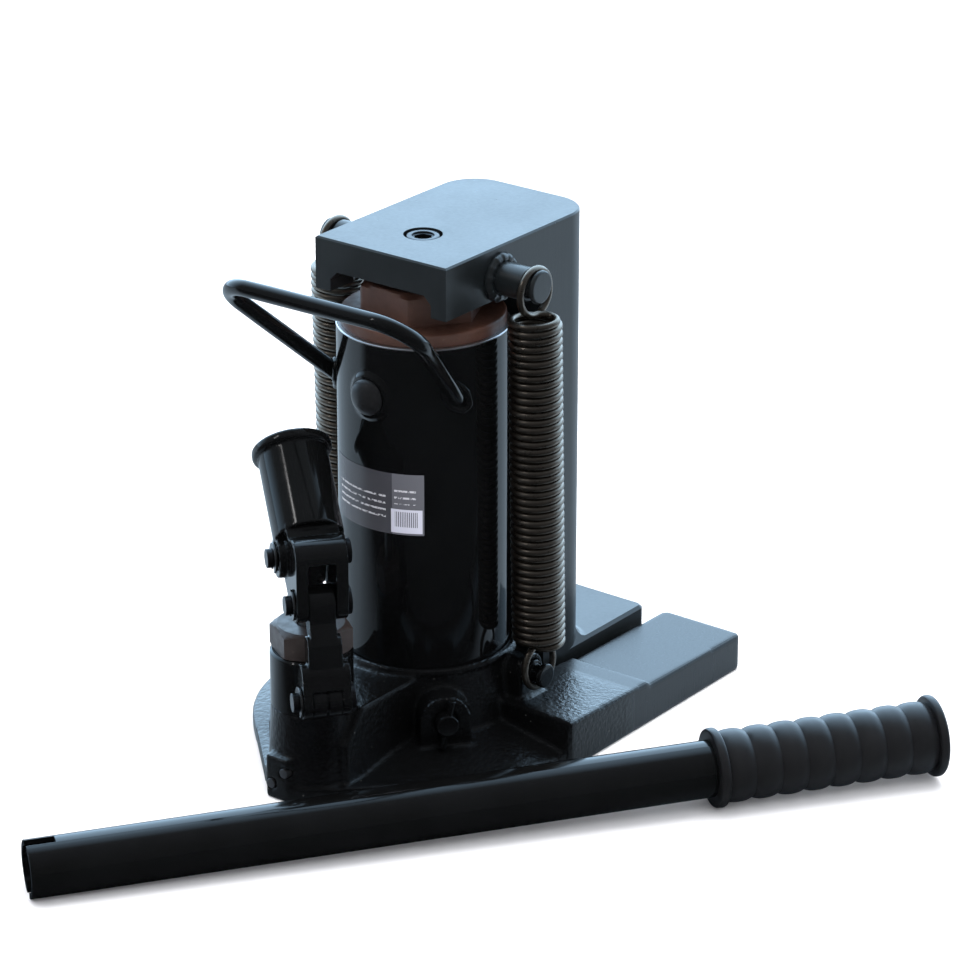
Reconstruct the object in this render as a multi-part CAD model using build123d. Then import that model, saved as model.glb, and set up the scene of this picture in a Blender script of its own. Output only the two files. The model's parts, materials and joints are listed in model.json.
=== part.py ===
"""Hydraulic toe jack with a lever pump, two return springs and a loose handle bar.

Frame: origin on the ram axis at floor level, +Z up, -Y towards the pump, +Y towards the toe.
Every sub-part is one solid (or one group of equal solids) and is written to parts/NAME.step.
The pump lever works in an upright plane through the pump axis; its pins are placed in that
plane as (u, z), where u is the distance from the pump axis and z the height above the floor.
"""
from build123d import *
from math import asin, atan2, cos, degrees, radians, sin
import os

# ---- running and assembly clearances ---------------------------------------------------------
RUN = 0.05                   # radial clearance of a shaft that turns or slides in a hole
GAP = 0.3                    # air gap between neighbouring pieces that move apart

# ---- base casting ------------------------------------------------------------------------------
FLANGE_R = 84.0              # round front flange, about the ram axis
FLANGE_EDGE_H = 8.0
FLANGE_ROOT_R, FLANGE_ROOT_H = 47.5, 15.0
TOWER_R, TOWER_H = 43.6, 44.0
LIP_R, LIP_H = 44.6, 47.8    # collar that the oil tank stands in
BASE_BACK_Y = 42.5           # back of the casting between the prongs
BACK_SLAB_H = 20.0
SLOT_HALF = 41.7             # half the slot that the toe moves in
PRONG_OUT = 88.5
PRONG_FRONT_Y, PRONG_STEP_Y, PRONG_END_Y = -1.4, 63.0, 142.5
PRONG_FRONT_H, PRONG_STEP_H, PRONG_END_H = 25.0, 22.7, 19.0
PRONG_STEP_DROP = 2.0
PRONG_CORNER_R = 4.0
WEB_HALF, WEB_FRONT_Y, WEB_H = 24.0, -90.0, 44.0
PUMP_BOSS_R, PUMP_FLANGE_R = 21.5, 22.4
BLOCK_X0, BLOCK_X1, BLOCK_Y, BLOCK_H = -9.6, 4.5, -109.2, 22.0

# ---- oil tank, ram and top nut -------------------------------------------------------------------
TANK_R, TANK_WALL = 41.1, 3.0
TANK_Z0, TANK_Z1 = 43.0, 208.0
GASKET_T = 1.0
CYL_R, CYL_BORE_R = 23.0, 18.0
CYL_Z0, CYL_Z1 = 33.0, 204.0
RAM_R, RAM_Z0 = 16.0, 39.0
PISTON_H, CUP_H = 12.0, 4.0
NUT_FLANGE_R, NUT_FLANGE_T = 39.0, 6.0
NUT_SPIGOT_H, NUT_HEX_AF, NUT_TOP_Z, NUT_HEX_ANGLE = 8.0, 53.0, 230.0, -125.0
WIPER_R, WIPER_H = 20.0, 5.0

# ---- claw ----------------------------------------------------------------------------------------
CLAW_HALF = 38.25
CLAW_FRONT_Y, COLUMN_Y, CLAW_BACK_Y = -32.1, 44.0, 83.5
CLAW_CORNER_R = 19.0
HEAD_TOP, HEAD_UNDER, CHEEK_UNDER = 250.0, 234.5, 224.5
CHEEK_IN, NUT_POCKET_R = 29.5, 33.5
TOE_END_Y, TOE_TOP, TOE_UNDER, TOE_ROOT_R = 130.0, 26.0, 2.0, 6.0
SCREW_R, SCREW_HEAD_R, SCREW_HEAD_H, SCREW_HEX_AF = 5.0, 8.0, 10.0, 8.0
COUNTERBORE_R, COUNTERBORE_DEPTH = 9.25, 10.5

# ---- return springs and what holds them ------------------------------------------------------------
SPRING_X = 58.6
SPRING_WIRE_R, SPRING_MEAN_R, SPRING_COILS = 1.8, 11.1, 46
SPRING_Y_LOW, SPRING_Y_HIGH = 13.0, 8.0
HANGER_Y, HANGER_Z, HANGER_R, HANGER_GROOVE_R, HANGER_END_X = 8.0, 235.0, 8.0, 6.0, 63.0
STUD_Y, STUD_Z, STUD_R, STUD_GROOVE_R, STUD_END_X = 13.0, 37.0, 6.0, 4.2, 63.5
STUD_LUG_X, STUD_LUG_HALF = 54.5, 9.0

# ---- carry handle, filler plug and plate -----------------------------------------------------------
BAIL_R, BAIL_BEND_R = 4.0, 17.0
BAIL_RIGHT = ((33.9, -16.9, 180.4), (58.0, -82.0, 239.5))      # root in the tank's wall, corner
BAIL_LEFT = ((-35.0, -16.4, 175.3), (-58.0, -84.0, 239.0))
WELD_R, WELD_UP = 6.6, 5.2   # bead radius and its distance from the root along the rod
PLUG_Z, PLUG_R, PLUG_SEAT_R, PLUG_STEM_R = 182.0, 8.8, 11.0, 4.5
PLATE_Z0, PLATE_Z1, PLATE_T, PLATE_HALF_ANGLE = 115.5, 146.0, 0.25, 38.0

# ---- pump and lever --------------------------------------------------------------------------------
PUMP_Y = -85.5
LEVER_ANGLE = -38.0          # heading of the lever's plane, from +X
PUMP_R, PUMP_Z0, PUMP_SHOULDER_Z, PUMP_TOP_Z = 19.5, 22.0, 44.0, 71.0
PUMP_SPIGOT_R = 14.0
GLAND_AF, GLAND_TOP_Z, GLAND_THREAD_R, GLAND_BOTTOM_Z = 34.0, 84.0, 11.0, 61.0
PACKING_H = 5.0
PLUNGER_R, PLUNGER_BOTTOM_Z, TONGUE_R, TONGUE_HALF = 6.0, 41.0, 8.5, 6.0
PIN_A = (0.0, 118.0)         # plunger pin
PIN_B = (19.0, 102.0)        # pin from the socket to the link
PIN_C = (28.0, 57.0)         # foot pin of the link
PIN_R = 4.5
CLIP_R, CLIP_T = 7.2, 1.0
ARM_IN, ARM_OUT, ARM_R = 6.5, 12.2, 8.5
EAR_OUT, EAR_R = 16.0, 9.6
SLOT_BACK, SLOT_AHEAD, SLOT_R = 1.35, 2.0, 5.2   # oblong hole that the plunger pin rides in
ARM_SHOULDER = (18.5, 125.0)
SOCKET_LEAN = 50.0           # from upright, away from the link
SOCKET_R, SOCKET_BORE_R = 16.5, 13.75
SOCKET_OFFSET, SOCKET_BOTTOM, SOCKET_TOP, SOCKET_FLOOR = 5.0, 6.0, 54.0, 12.0
BEAD_R, BEAD_T = 18.9, 5.0
KNUCKLE_HALF, SHANK_HALF, CLEVIS_HALF, CLEVIS_GAP_HALF = 6.25, 8.0, 11.35, 6.9
LINK_R, SHANK_R = 8.3, 4.6
LUG_HALF, LUG_GROOVE, LUG_R = 6.6, 1.2, 8.2
SHANK_LOW, SHANK_MID, SHANK_HIGH = (27.6, 70.0), (26.2, 84.0), (21.5, 94.0)

# ---- release valve ---------------------------------------------------------------------------------
VALVE_ANGLE, VALVE_Z = -42.0, 26.0
VALVE_BOSS_R, VALVE_BOSS_END = 12.3, 56.0
VALVE_STEM_R, VALVE_END, VALVE_TIP = 5.4, 62.0, 27.0
VALVE_PIN_AT, VALVE_PIN_R, VALVE_PIN_HALF, VALVE_PIN_TILT = 59.4, 1.8, 12.6, -12.0
BALL_R = 3.0

# ---- handle bar, lying on the floor beside the jack ------------------------------------------------
BAR_R, BAR_WALL, BAR_LENGTH = 13.5, 2.75, 434.0
BAR_NECK_R = 12.9            # tube inside the grip
BAR_END, BAR_HEADING = (-30.6, -248.5), 53.54
BAR_SLOT_LENGTH, BAR_SLOT_W = 13.5, 5.5
GRIP_LENGTH, GRIP_BULGES, GRIP_BULGE_R, GRIP_VALLEY_R = 113.0, 8, 17.25, 16.0
GRIP_FLANGE_R, GRIP_INNER_FLANGE_R, GRIP_FLANGE_T, GRIP_CAP_T = 19.4, 18.8, 5.0, 3.0

UP = (Align.CENTER, Align.CENTER, Align.MIN)
LEVER_U = Vector(cos(radians(LEVER_ANGLE)), sin(radians(LEVER_ANGLE)), 0)
LEVER = Plane(origin=(0, PUMP_Y, 0), x_dir=LEVER_U, z_dir=LEVER_U.cross(Vector(0, 0, 1)))
VALVE_DIR = Vector(cos(radians(VALVE_ANGLE)), sin(radians(VALVE_ANGLE)), 0)
VALVE = Plane(origin=(0, 0, VALVE_Z), x_dir=(0, 0, 1), z_dir=VALVE_DIR)


# ---- small helpers ---------------------------------------------------------------------------------
def rod(radius, z0, z1, at=(0, 0)):
    """Upright cylinder between two heights."""
    return Pos(at[0], at[1], z0) * Cylinder(radius, z1 - z0, align=UP)


def ring(outer, inner, z0, z1, at=(0, 0)):
    """Upright tube between two heights."""
    return rod(outer, z0, z1, at) - rod(inner, z0 - 1, z1 + 1, at)


def slab(x0, x1, y0, y1, z0, z1):
    """Box between two corners."""
    return Pos((x0 + x1) / 2, (y0 + y1) / 2, (z0 + z1) / 2) * Box(x1 - x0, y1 - y0, z1 - z0)


def turned(points, at=(0, 0)):
    """Solid of revolution about an upright axis, from (radius, height) corners."""
    outline = make_face(Plane.XZ * Polyline(*points, close=True))
    return Pos(at[0], at[1], 0) * revolve(outline, Axis.Z)


def hexagon(across_flats, z0, z1, angle=0.0, at=(0, 0)):
    """Upright hexagonal bar with one corner at the given heading."""
    corner_r = across_flats / 2 / cos(radians(30))
    headings = [radians(angle + 60 * side) for side in range(6)]
    corners = [(corner_r * cos(heading), corner_r * sin(heading)) for heading in headings]
    face = make_face(Polyline(*corners, close=True))
    return Pos(at[0], at[1], z0) * extrude(face, z1 - z0)


def mirrored(solid):
    """The solid and its mirror image across the YZ plane."""
    return [solid, mirror(solid, Plane.YZ)]


def across_x(points, x0, x1):
    """Prism along X from a closed outline of (y, z) corners."""
    outline = make_face(Plane.YZ * Polyline(*points, close=True))
    return Pos(x0, 0, 0) * extrude(outline, x1 - x0, dir=(1, 0, 0))


def in_lever(face, side0, side1):
    """Extrude a face drawn in (u, z) across the lever's plane, between two side distances."""
    return LEVER * (Pos(0, 0, side0) * extrude(face, side1 - side0))


def lever_hull(*circles):
    """Face in (u, z) wrapped tightly round circles given as (centre, radius)."""
    edges = [Pos(*centre) * Circle(radius).edge() for centre, radius in circles]
    return make_hull(edges) if len(edges) > 1 else make_face(edges)


def lever_pin(centre, side_clip, side_head, head_r, radius=PIN_R):
    """Pin across the lever's plane: plain end beyond the clip, round head on the other side."""
    shank = in_lever(Pos(*centre) * Circle(radius), -side_head, side_clip + 4.0)
    head = in_lever(Pos(*centre) * Circle(head_r), -side_head - 2.2, -side_head)
    groove = in_lever(Pos(*centre) * Circle(radius + 1), side_clip, side_clip + CLIP_T)
    groove -= in_lever(Pos(*centre) * Circle(radius - 0.8), side_clip, side_clip + CLIP_T)
    return shank + head - groove


def clip(centre, side):
    """Open retaining ring that snaps into the groove of a lever pin."""
    face = Circle(CLIP_R) - Circle(PIN_R - 0.8) - Pos(0, -CLIP_R) * Rectangle(5.0, 2 * CLIP_R)
    return in_lever(Pos(*centre) * face, side, side + CLIP_T)


# ---- base ------------------------------------------------------------------------------------------
def flange():
    """Teardrop flange round the ram and the pump, rising to the round tower."""
    outline = make_hull([Circle(FLANGE_R).edge(), Pos(0, PUMP_Y) * Circle(PUMP_FLANGE_R).edge()])
    plate = extrude(outline, FLANGE_EDGE_H)
    rim = FLANGE_R - 1.5
    tower = turned([(0, 1), (rim, 1), (rim, FLANGE_EDGE_H), (FLANGE_ROOT_R, FLANGE_ROOT_H),
                    (TOWER_R, TOWER_H), (LIP_R, TOWER_H + 1), (LIP_R, LIP_H - 1.2),
                    (LIP_R - 1.2, LIP_H), (0, LIP_H)])
    return plate + tower - slab(-200, 200, BASE_BACK_Y, 200, -1, 100)


def prongs():
    """Two long feet beside the toe, each with a step half way."""
    side = [(PRONG_FRONT_Y, 0), (PRONG_END_Y, 0), (PRONG_END_Y, PRONG_END_H),
            (PRONG_STEP_Y, PRONG_STEP_H - PRONG_STEP_DROP), (PRONG_STEP_Y, PRONG_STEP_H),
            (PRONG_FRONT_Y, PRONG_FRONT_H)]
    foot = across_x(side, SLOT_HALF, PRONG_OUT)
    foot = fillet(foot.edges().filter_by(Axis.Z).group_by(Axis.Y)[-1], PRONG_CORNER_R)
    return mirrored(foot)


def pump_block():
    """Web, round pump boss and flat-faced valve block in front of the tower."""
    side = [(0, 0), (WEB_FRONT_Y, 0), (WEB_FRONT_Y, WEB_H - 16), (WEB_FRONT_Y + 12, WEB_H), (0, WEB_H)]
    web = across_x(side, -WEB_HALF, WEB_HALF)
    boss = turned([(0, 0), (PUMP_BOSS_R, 0), (PUMP_R, PUMP_SHOULDER_Z), (0, PUMP_SHOULDER_Z)],
                  (0, PUMP_Y))
    block = slab(BLOCK_X0, BLOCK_X1, BLOCK_Y, PUMP_Y, 0, BLOCK_H)
    return web + boss + block


def valve_boss():
    """Round-topped boss that holds the release valve."""
    outline = Circle(VALVE_BOSS_R) + Pos(-VALVE_Z / 2, 0) * Rectangle(VALVE_Z, 2 * VALVE_BOSS_R)
    return VALVE * extrude(outline, VALVE_BOSS_END)


def stud_lug():
    """Cast lug on the foot that the lower spring stud is set in."""
    start, half = TOWER_R - 6, STUD_LUG_HALF
    outline = Pos(STUD_Y, STUD_Z) * Circle(half) + Pos(STUD_Y, STUD_Z - 14) * Rectangle(2 * half, 28)
    return Pos(start, 0, 0) * extrude(Plane.YZ * outline, STUD_LUG_X - start, dir=(1, 0, 0))


def passages():
    """Bores and oil passages of the casting, as one cutting body."""
    cuts = rod(TANK_R + 0.02, TANK_Z0 - GASKET_T, LIP_H + 1)
    cuts += rod(CYL_R, CYL_Z0 - GASKET_T, TANK_Z0)
    cuts += rod(PUMP_SPIGOT_R, PUMP_Z0, PUMP_SHOULDER_Z + 1, (0, PUMP_Y))
    cuts += rod(BALL_R + 0.4, PUMP_Z0 - 9, PUMP_Z0, (0, PUMP_Y))
    cuts += Pos(0, PUMP_Y, PUMP_Z0 - 5) * Rot(-90, 0, 0) * Cylinder(2, -PUMP_Y, align=UP)
    cuts += rod(3, PUMP_Z0 - 10, CYL_Z0)
    cuts += VALVE * Cylinder(2, VALVE_TIP, align=UP)
    cuts += VALVE * (Pos(0, 0, VALVE_TIP - 8) * Cylinder(BALL_R + RUN, 8, align=UP))
    cuts += VALVE * (Pos(0, 0, VALVE_TIP) * Cylinder(VALVE_STEM_R + RUN, 60, align=UP))
    return cuts


def plug_place(index):
    """Place of a passage plug on the flat face of the valve block."""
    across, height = ((-6.2, 7.8), (1.6, 15.0))[index]
    return Pos(across, BLOCK_Y, height) * Rot(-90, 0, 0)


def base_casting():
    """One casting: feet, flange, tower, pump block, valve boss and spring lugs."""
    body = flange() + slab(-SLOT_HALF - 1, SLOT_HALF + 1, 0, BASE_BACK_Y, 0, BACK_SLAB_H)
    for piece in prongs() + mirrored(stud_lug()) + [pump_block(), valve_boss()]:
        body += piece
    body -= passages()
    for index in range(2):
        body -= plug_place(index) * Cylinder(2.4, 6, align=UP)
    for stud in spring_studs():
        body -= stud
    return body


def passage_plugs():
    """Two round plugs that close the drilled passages."""
    return [plug_place(index) * Pos(0, 0, -0.3) * Cylinder(2.4, 6.3, align=UP) for index in range(2)]


def check_balls():
    """Balls of the suction and release seats."""
    suction = Pos(0, PUMP_Y, PUMP_Z0 - 5.5) * Sphere(BALL_R)
    seat = VALVE * (Pos(0, 0, VALVE_TIP - BALL_R - 0.6) * Sphere(BALL_R))
    return [suction, seat]


# ---- tank and ram ------------------------------------------------------------------------------------
def plug_axis():
    """Place of the filler plug: on the tank's front, pointing outwards."""
    return Pos(0, -TANK_R, PLUG_Z) * Rot(90, 0, 0)


def tank():
    """Oil tank tube with the raised seat of the filler plug."""
    seat = plug_axis() * Pos(0, 0, -2) * Cone(PLUG_SEAT_R + 0.8, PLUG_SEAT_R - 0.6, 3.6, align=UP)
    shell = rod(TANK_R, TANK_Z0, TANK_Z1) + seat
    hole = plug_axis() * Pos(0, 0, -8) * Cylinder(PLUG_STEM_R, 20, align=UP)
    return shell - rod(TANK_R - TANK_WALL, TANK_Z0 - 1, TANK_Z1 + 1) - hole


def filler_plug():
    """Domed rubber plug with a stem and an inner barb."""
    dome_h = 4.6
    sphere_r = (PLUG_R ** 2 + dome_h ** 2) / (2 * dome_h)
    dome = Pos(0, 0, dome_h - sphere_r) * Sphere(sphere_r)
    dome -= Pos(0, 0, -50) * Cylinder(60, 50, align=UP)
    stem = Pos(0, 0, -6.2) * Cylinder(PLUG_STEM_R, 6.2, align=UP)
    barb = Pos(0, 0, -7.8) * Cone(PLUG_STEM_R - 0.8, PLUG_STEM_R + 0.8, 2.2, align=UP)
    return plug_axis() * Pos(0, 0, 1.6) * (dome + stem + barb)


def rating_plate():
    """Thin film on the front of the tank."""
    film = ring(TANK_R + PLATE_T, TANK_R, PLATE_Z0, PLATE_Z1)
    half_w = TANK_R * sin(radians(PLATE_HALF_ANGLE))
    return film & slab(-half_w, half_w, -60, 0, PLATE_Z0, PLATE_Z1)


def bail_solid():
    """Bent round rod of the carry handle, ends running into the tank."""
    path = FilletPolyline(*BAIL_RIGHT, *reversed(BAIL_LEFT), radius=BAIL_BEND_R)
    return sweep(Plane(path @ 0, z_dir=path % 0) * Circle(BAIL_R), path)


def carry_handle():
    """Carry handle, ends cut to the round of the tank."""
    return bail_solid() - rod(TANK_R, TANK_Z0, TANK_Z1)


def carry_handle_welds():
    """Weld beads where the carry handle meets the tank."""
    beads = []
    for root, corner in (BAIL_RIGHT, BAIL_LEFT):
        along = (Vector(*corner) - Vector(*root)).normalized()
        bead = Plane(Vector(*root) + along * WELD_UP, z_dir=along) * Sphere(WELD_R)
        bead -= rod(TANK_R, TANK_Z0, TANK_Z1)
        beads.append(bead - bail_solid())
    return beads


def top_nut():
    """Hexagonal nut with a round flange that closes the tank and guides the ram."""
    body = rod(NUT_FLANGE_R, TANK_Z1, TANK_Z1 + NUT_FLANGE_T)
    body = chamfer(body.edges().group_by(Axis.Z)[-1], 1.5)
    hexa = hexagon(NUT_HEX_AF, TANK_Z1, NUT_TOP_Z, NUT_HEX_ANGLE)
    hexa &= turned([(0, TANK_Z1), (40, TANK_Z1), (40, NUT_TOP_Z - 7), (NUT_HEX_AF / 2 - 0.5, NUT_TOP_Z),
                    (0, NUT_TOP_Z)])
    spigot = rod(TANK_R - TANK_WALL - RUN, TANK_Z1 - NUT_SPIGOT_H, TANK_Z1)
    spigot -= ring(TANK_R, TANK_R - TANK_WALL - 3.0, TANK_Z1 - 6, TANK_Z1 - 3)
    body += hexa + spigot
    body -= rod(CYL_R, TANK_Z1 - NUT_SPIGOT_H - 1, CYL_Z1)
    body -= rod(WIPER_R, NUT_TOP_Z - WIPER_H, NUT_TOP_Z + 1)
    return body - rod(RAM_R + RUN, TANK_Z0, HEAD_TOP)


def tank_seal_upper():
    """Square-section ring between the top nut's spigot and the tank."""
    return ring(TANK_R - TANK_WALL, TANK_R - TANK_WALL - 3.0, TANK_Z1 - 6, TANK_Z1 - 3)


def ram():
    """Lifting ram with a threaded hole in its top and a spigot for the piston."""
    body = rod(RAM_R, RAM_Z0 + PISTON_H + CUP_H, HEAD_UNDER)
    body += rod(RAM_R - 6, RAM_Z0, RAM_Z0 + PISTON_H + CUP_H)
    return body - rod(SCREW_R, HEAD_UNDER - 22, HEAD_UNDER + 1)


# ---- claw --------------------------------------------------------------------------------------------
def claw_plan(front_y):
    """Plan of head or column: square in front, rounded at the back."""
    corner = CLAW_CORNER_R
    run = Polyline((-CLAW_HALF, CLAW_BACK_Y - corner), (-CLAW_HALF, front_y), (CLAW_HALF, front_y),
                   (CLAW_HALF, CLAW_BACK_Y - corner))
    right = RadiusArc((CLAW_HALF, CLAW_BACK_Y - corner), (CLAW_HALF - corner, CLAW_BACK_Y), -corner)
    back = Line((CLAW_HALF - corner, CLAW_BACK_Y), (corner - CLAW_HALF, CLAW_BACK_Y))
    left = RadiusArc((corner - CLAW_HALF, CLAW_BACK_Y), (-CLAW_HALF, CLAW_BACK_Y - corner), -corner)
    return make_face([run, right, back, left])


def claw():
    """Claw in one piece: head over the ram, column behind the tank, toe at the floor."""
    head = Pos(0, 0, CHEEK_UNDER) * extrude(claw_plan(CLAW_FRONT_Y), HEAD_TOP - CHEEK_UNDER)
    head = chamfer(head.faces().sort_by(Axis.Z)[-1].edges(), 0.8)
    tunnel = Plane.XZ.offset(-COLUMN_Y) * Polyline(
        (-CHEEK_IN, CHEEK_UNDER - 1), (CHEEK_IN, CHEEK_UNDER - 1), (CHEEK_IN, HEAD_UNDER - 4),
        (CHEEK_IN - 4, HEAD_UNDER), (4 - CHEEK_IN, HEAD_UNDER), (-CHEEK_IN, HEAD_UNDER - 4), close=True)
    head -= extrude(make_face(tunnel), COLUMN_Y + 60)
    head -= rod(NUT_POCKET_R, CHEEK_UNDER - 1, HEAD_UNDER)
    column = Pos(0, 0, TOE_UNDER) * extrude(claw_plan(COLUMN_Y), HEAD_TOP - 1 - TOE_UNDER)
    toe = slab(-CLAW_HALF, CLAW_HALF, COLUMN_Y, TOE_END_Y, TOE_UNDER, TOE_TOP)
    toe = fillet(toe.edges().filter_by(Axis.Z).group_by(Axis.Y)[-1], 4)
    toe = chamfer(toe.edges().group_by(Axis.Y)[-1].filter_by(Axis.X), 1.5)
    body = head + column + toe
    root = body.edges().filter_by(Axis.X).filter_by_position(Axis.Z, TOE_TOP - 0.1, TOE_TOP + 0.1)
    body = fillet(root.filter_by_position(Axis.Y, CLAW_BACK_Y - 0.1, CLAW_BACK_Y + 0.1), TOE_ROOT_R)
    body -= rod(COUNTERBORE_R, HEAD_TOP - COUNTERBORE_DEPTH, HEAD_TOP + 1)
    return body - rod(SCREW_R + 0.5, HEAD_UNDER - 1, HEAD_TOP)


def head_screw():
    """Hexagon-socket screw that holds the claw on the ram."""
    head_z = HEAD_TOP - COUNTERBORE_DEPTH
    head = rod(SCREW_HEAD_R, head_z, head_z + SCREW_HEAD_H)
    head = chamfer(head.edges().group_by(Axis.Z)[-1], 0.8)
    key = hexagon(SCREW_HEX_AF, head_z + SCREW_HEAD_H - 5, head_z + SCREW_HEAD_H + 1, 10)
    return head + rod(SCREW_R, head_z - 24, head_z) - key


def hanger_pins():
    """Grooved pins on the claw's cheeks that the springs hang from."""
    length = HANGER_END_X - CLAW_HALF
    pin = Cylinder(HANGER_R, length, align=UP)
    pin = chamfer(pin.edges().group_by(Axis.Z)[-1], 1.2)
    groove_z = SPRING_X - CLAW_HALF
    pin -= Pos(0, 0, groove_z) * (Cylinder(20, 5) - Cylinder(HANGER_GROOVE_R, 5))
    return mirrored(Pos(CLAW_HALF, HANGER_Y, HANGER_Z) * Rot(0, 90, 0) * pin)


def hanger_welds():
    """Weld fillets round the roots of the hanger pins."""
    bead = Cone(HANGER_R + 4.5, HANGER_R + 1, 4.5, align=UP) - Cylinder(HANGER_R, 20)
    return mirrored(Pos(CLAW_HALF, HANGER_Y, HANGER_Z) * Rot(0, 90, 0) * bead)


def spring_studs():
    """Grooved studs on the base that the springs' lower hooks pass under."""
    start = STUD_LUG_X - 10
    stud = Cylinder(STUD_R, STUD_END_X - start, align=UP)
    stud = chamfer(stud.edges().group_by(Axis.Z)[-1], 0.8)
    stud -= Pos(0, 0, SPRING_X - start) * (Cylinder(20, 4.6) - Cylinder(STUD_GROOVE_R, 4.6))
    return mirrored(Pos(start, STUD_Y, STUD_Z) * Rot(0, 90, 0) * stud)


def return_spring():
    """Close-coiled tension spring: stack of coils with a round hook ring at each end."""
    ring_r, wire = SPRING_MEAN_R, SPRING_WIRE_R
    top_z = HANGER_Z + HANGER_GROOVE_R + 0.1 - (ring_r - wire)
    low_z = STUD_Z - STUD_GROOVE_R - 0.1 + (ring_r - wire)
    coil_z0, coil_z1 = low_z + ring_r, top_z - ring_r
    pitch = (coil_z1 - coil_z0) / SPRING_COILS
    outline = [Line((ring_r - wire, coil_z0), (ring_r, coil_z0))]
    for turn in range(SPRING_COILS):
        z = coil_z0 + turn * pitch
        outline.append(ThreePointArc((ring_r, z), (ring_r + wire, z + pitch / 2), (ring_r, z + pitch)))
    outline.append(Polyline((ring_r, coil_z1), (ring_r - wire, coil_z1), (ring_r - wire, coil_z0)))
    coil = revolve(make_face(Plane.XZ * Curve(outline)), Axis.Z)
    lean = degrees(atan2(SPRING_Y_LOW - SPRING_Y_HIGH, coil_z1 - coil_z0))
    mid_z = (coil_z0 + coil_z1) / 2
    mid_y = (SPRING_Y_LOW + SPRING_Y_HIGH) / 2
    coil = Pos(0, mid_y, mid_z) * Rot(lean, 0, 0) * Pos(0, 0, -mid_z) * coil
    for y, hook_z, end_z in ((SPRING_Y_HIGH, top_z, coil_z1 - wire), (SPRING_Y_LOW, low_z, coil_z0 + wire)):
        coil += Pos(0, y, hook_z) * Rot(0, 90, 0) * Torus(ring_r, wire)
        coil += Pos(0, y, end_z) * Rot(90, 0, 0) * Cylinder(wire, 2 * ring_r)
    return Pos(SPRING_X, 0, 0) * coil


# ---- pump ----------------------------------------------------------------------------------------------
def pump_body():
    """Pump cylinder screwed into the base, with the lug that the link stands on."""
    body = rod(PUMP_R, PUMP_SHOULDER_Z, PUMP_TOP_Z, (0, PUMP_Y))
    body = chamfer(body.edges().group_by(Axis.Z)[-1], 1.0)
    body += rod(PUMP_SPIGOT_R, PUMP_Z0, PUMP_SHOULDER_Z, (0, PUMP_Y))
    profile = lever_hull((PIN_C, LUG_R), ((PUMP_R - LUG_R, PIN_C[1]), LUG_R))
    lug = in_lever(profile, -LUG_HALF, LUG_HALF)
    groove = Pos(*PIN_C) * (Circle(LUG_R + 1) - Circle(LUG_R - 1.4))
    lug -= in_lever(groove, -LUG_GROOVE / 2, LUG_GROOVE / 2)
    body += lug
    body -= in_lever(Pos(*PIN_C) * Circle(PIN_R + RUN), -LUG_HALF - 1, LUG_HALF + 1)
    body -= rod(PLUNGER_R + RUN, PUMP_Z0 - 1, PUMP_TOP_Z + 1, (0, PUMP_Y))
    return body - rod(GLAND_THREAD_R, GLAND_BOTTOM_Z - PACKING_H, PUMP_TOP_Z + 1, (0, PUMP_Y))


def pump_packing():
    """Lip packing that seals the plunger."""
    z0 = GLAND_BOTTOM_Z - PACKING_H
    return ring(GLAND_THREAD_R, PLUNGER_R + RUN, z0, GLAND_BOTTOM_Z, (0, PUMP_Y))


def pump_gland_nut():
    """Hexagonal nut that holds the packing and guides the plunger."""
    hexa = hexagon(GLAND_AF, PUMP_TOP_Z, GLAND_TOP_Z, -90, (0, PUMP_Y))
    crown = turned([(0, PUMP_TOP_Z), (GLAND_AF, PUMP_TOP_Z), (GLAND_AF, GLAND_TOP_Z - 10),
                    (GLAND_AF / 2 - 1, GLAND_TOP_Z), (0, GLAND_TOP_Z)], (0, PUMP_Y))
    body = (hexa & crown) + rod(GLAND_THREAD_R - RUN, GLAND_BOTTOM_Z, PUMP_TOP_Z, (0, PUMP_Y))
    return body - rod(PLUNGER_R + RUN, GLAND_BOTTOM_Z - 1, GLAND_TOP_Z + 1, (0, PUMP_Y))


def pump_plunger():
    """Pump plunger: round rod with a flat eye at its top."""
    body = rod(PLUNGER_R, PLUNGER_BOTTOM_Z, PIN_A[1] - 4, (0, PUMP_Y))
    eye = lever_hull((PIN_A, TONGUE_R), ((PIN_A[0], PIN_A[1] - 8), PLUNGER_R))
    body += in_lever(eye, -TONGUE_HALF, TONGUE_HALF)
    return body - in_lever(Pos(*PIN_A) * Circle(PIN_R), -TONGUE_HALF - 1, TONGUE_HALF + 1)


def pump_link():
    """Link between pump lug and socket: knuckle at the top, shouldered clevis at the bottom."""
    knuckle = lever_hull((PIN_B, LINK_R), (SHANK_HIGH, SHANK_R))
    neck = lever_hull((SHANK_HIGH, SHANK_R), (SHANK_MID, SHANK_R))
    shank = lever_hull((SHANK_MID, SHANK_R), (SHANK_LOW, SHANK_R))
    clevis = lever_hull((PIN_C, LUG_R), (SHANK_LOW, SHANK_R + 1))
    body = in_lever(knuckle, -KNUCKLE_HALF, KNUCKLE_HALF) + in_lever(neck, -KNUCKLE_HALF, KNUCKLE_HALF)
    body += in_lever(shank, -SHANK_HALF, SHANK_HALF) + in_lever(clevis, -CLEVIS_HALF, CLEVIS_HALF)
    reach = LUG_R + 1.2
    gap = lever_hull((PIN_C, reach), ((PIN_C[0] - 30, PIN_C[1]), reach), ((PIN_C[0], PIN_C[1] - 20), reach))
    body -= in_lever(gap, -CLEVIS_GAP_HALF, CLEVIS_GAP_HALF)
    body -= in_lever(Pos(*PIN_C) * Circle(PIN_R), -CLEVIS_HALF - 1, CLEVIS_HALF + 1)
    return body - in_lever(Pos(*PIN_B) * Circle(PIN_R + RUN), -KNUCKLE_HALF - 1, KNUCKLE_HALF + 1)


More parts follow.
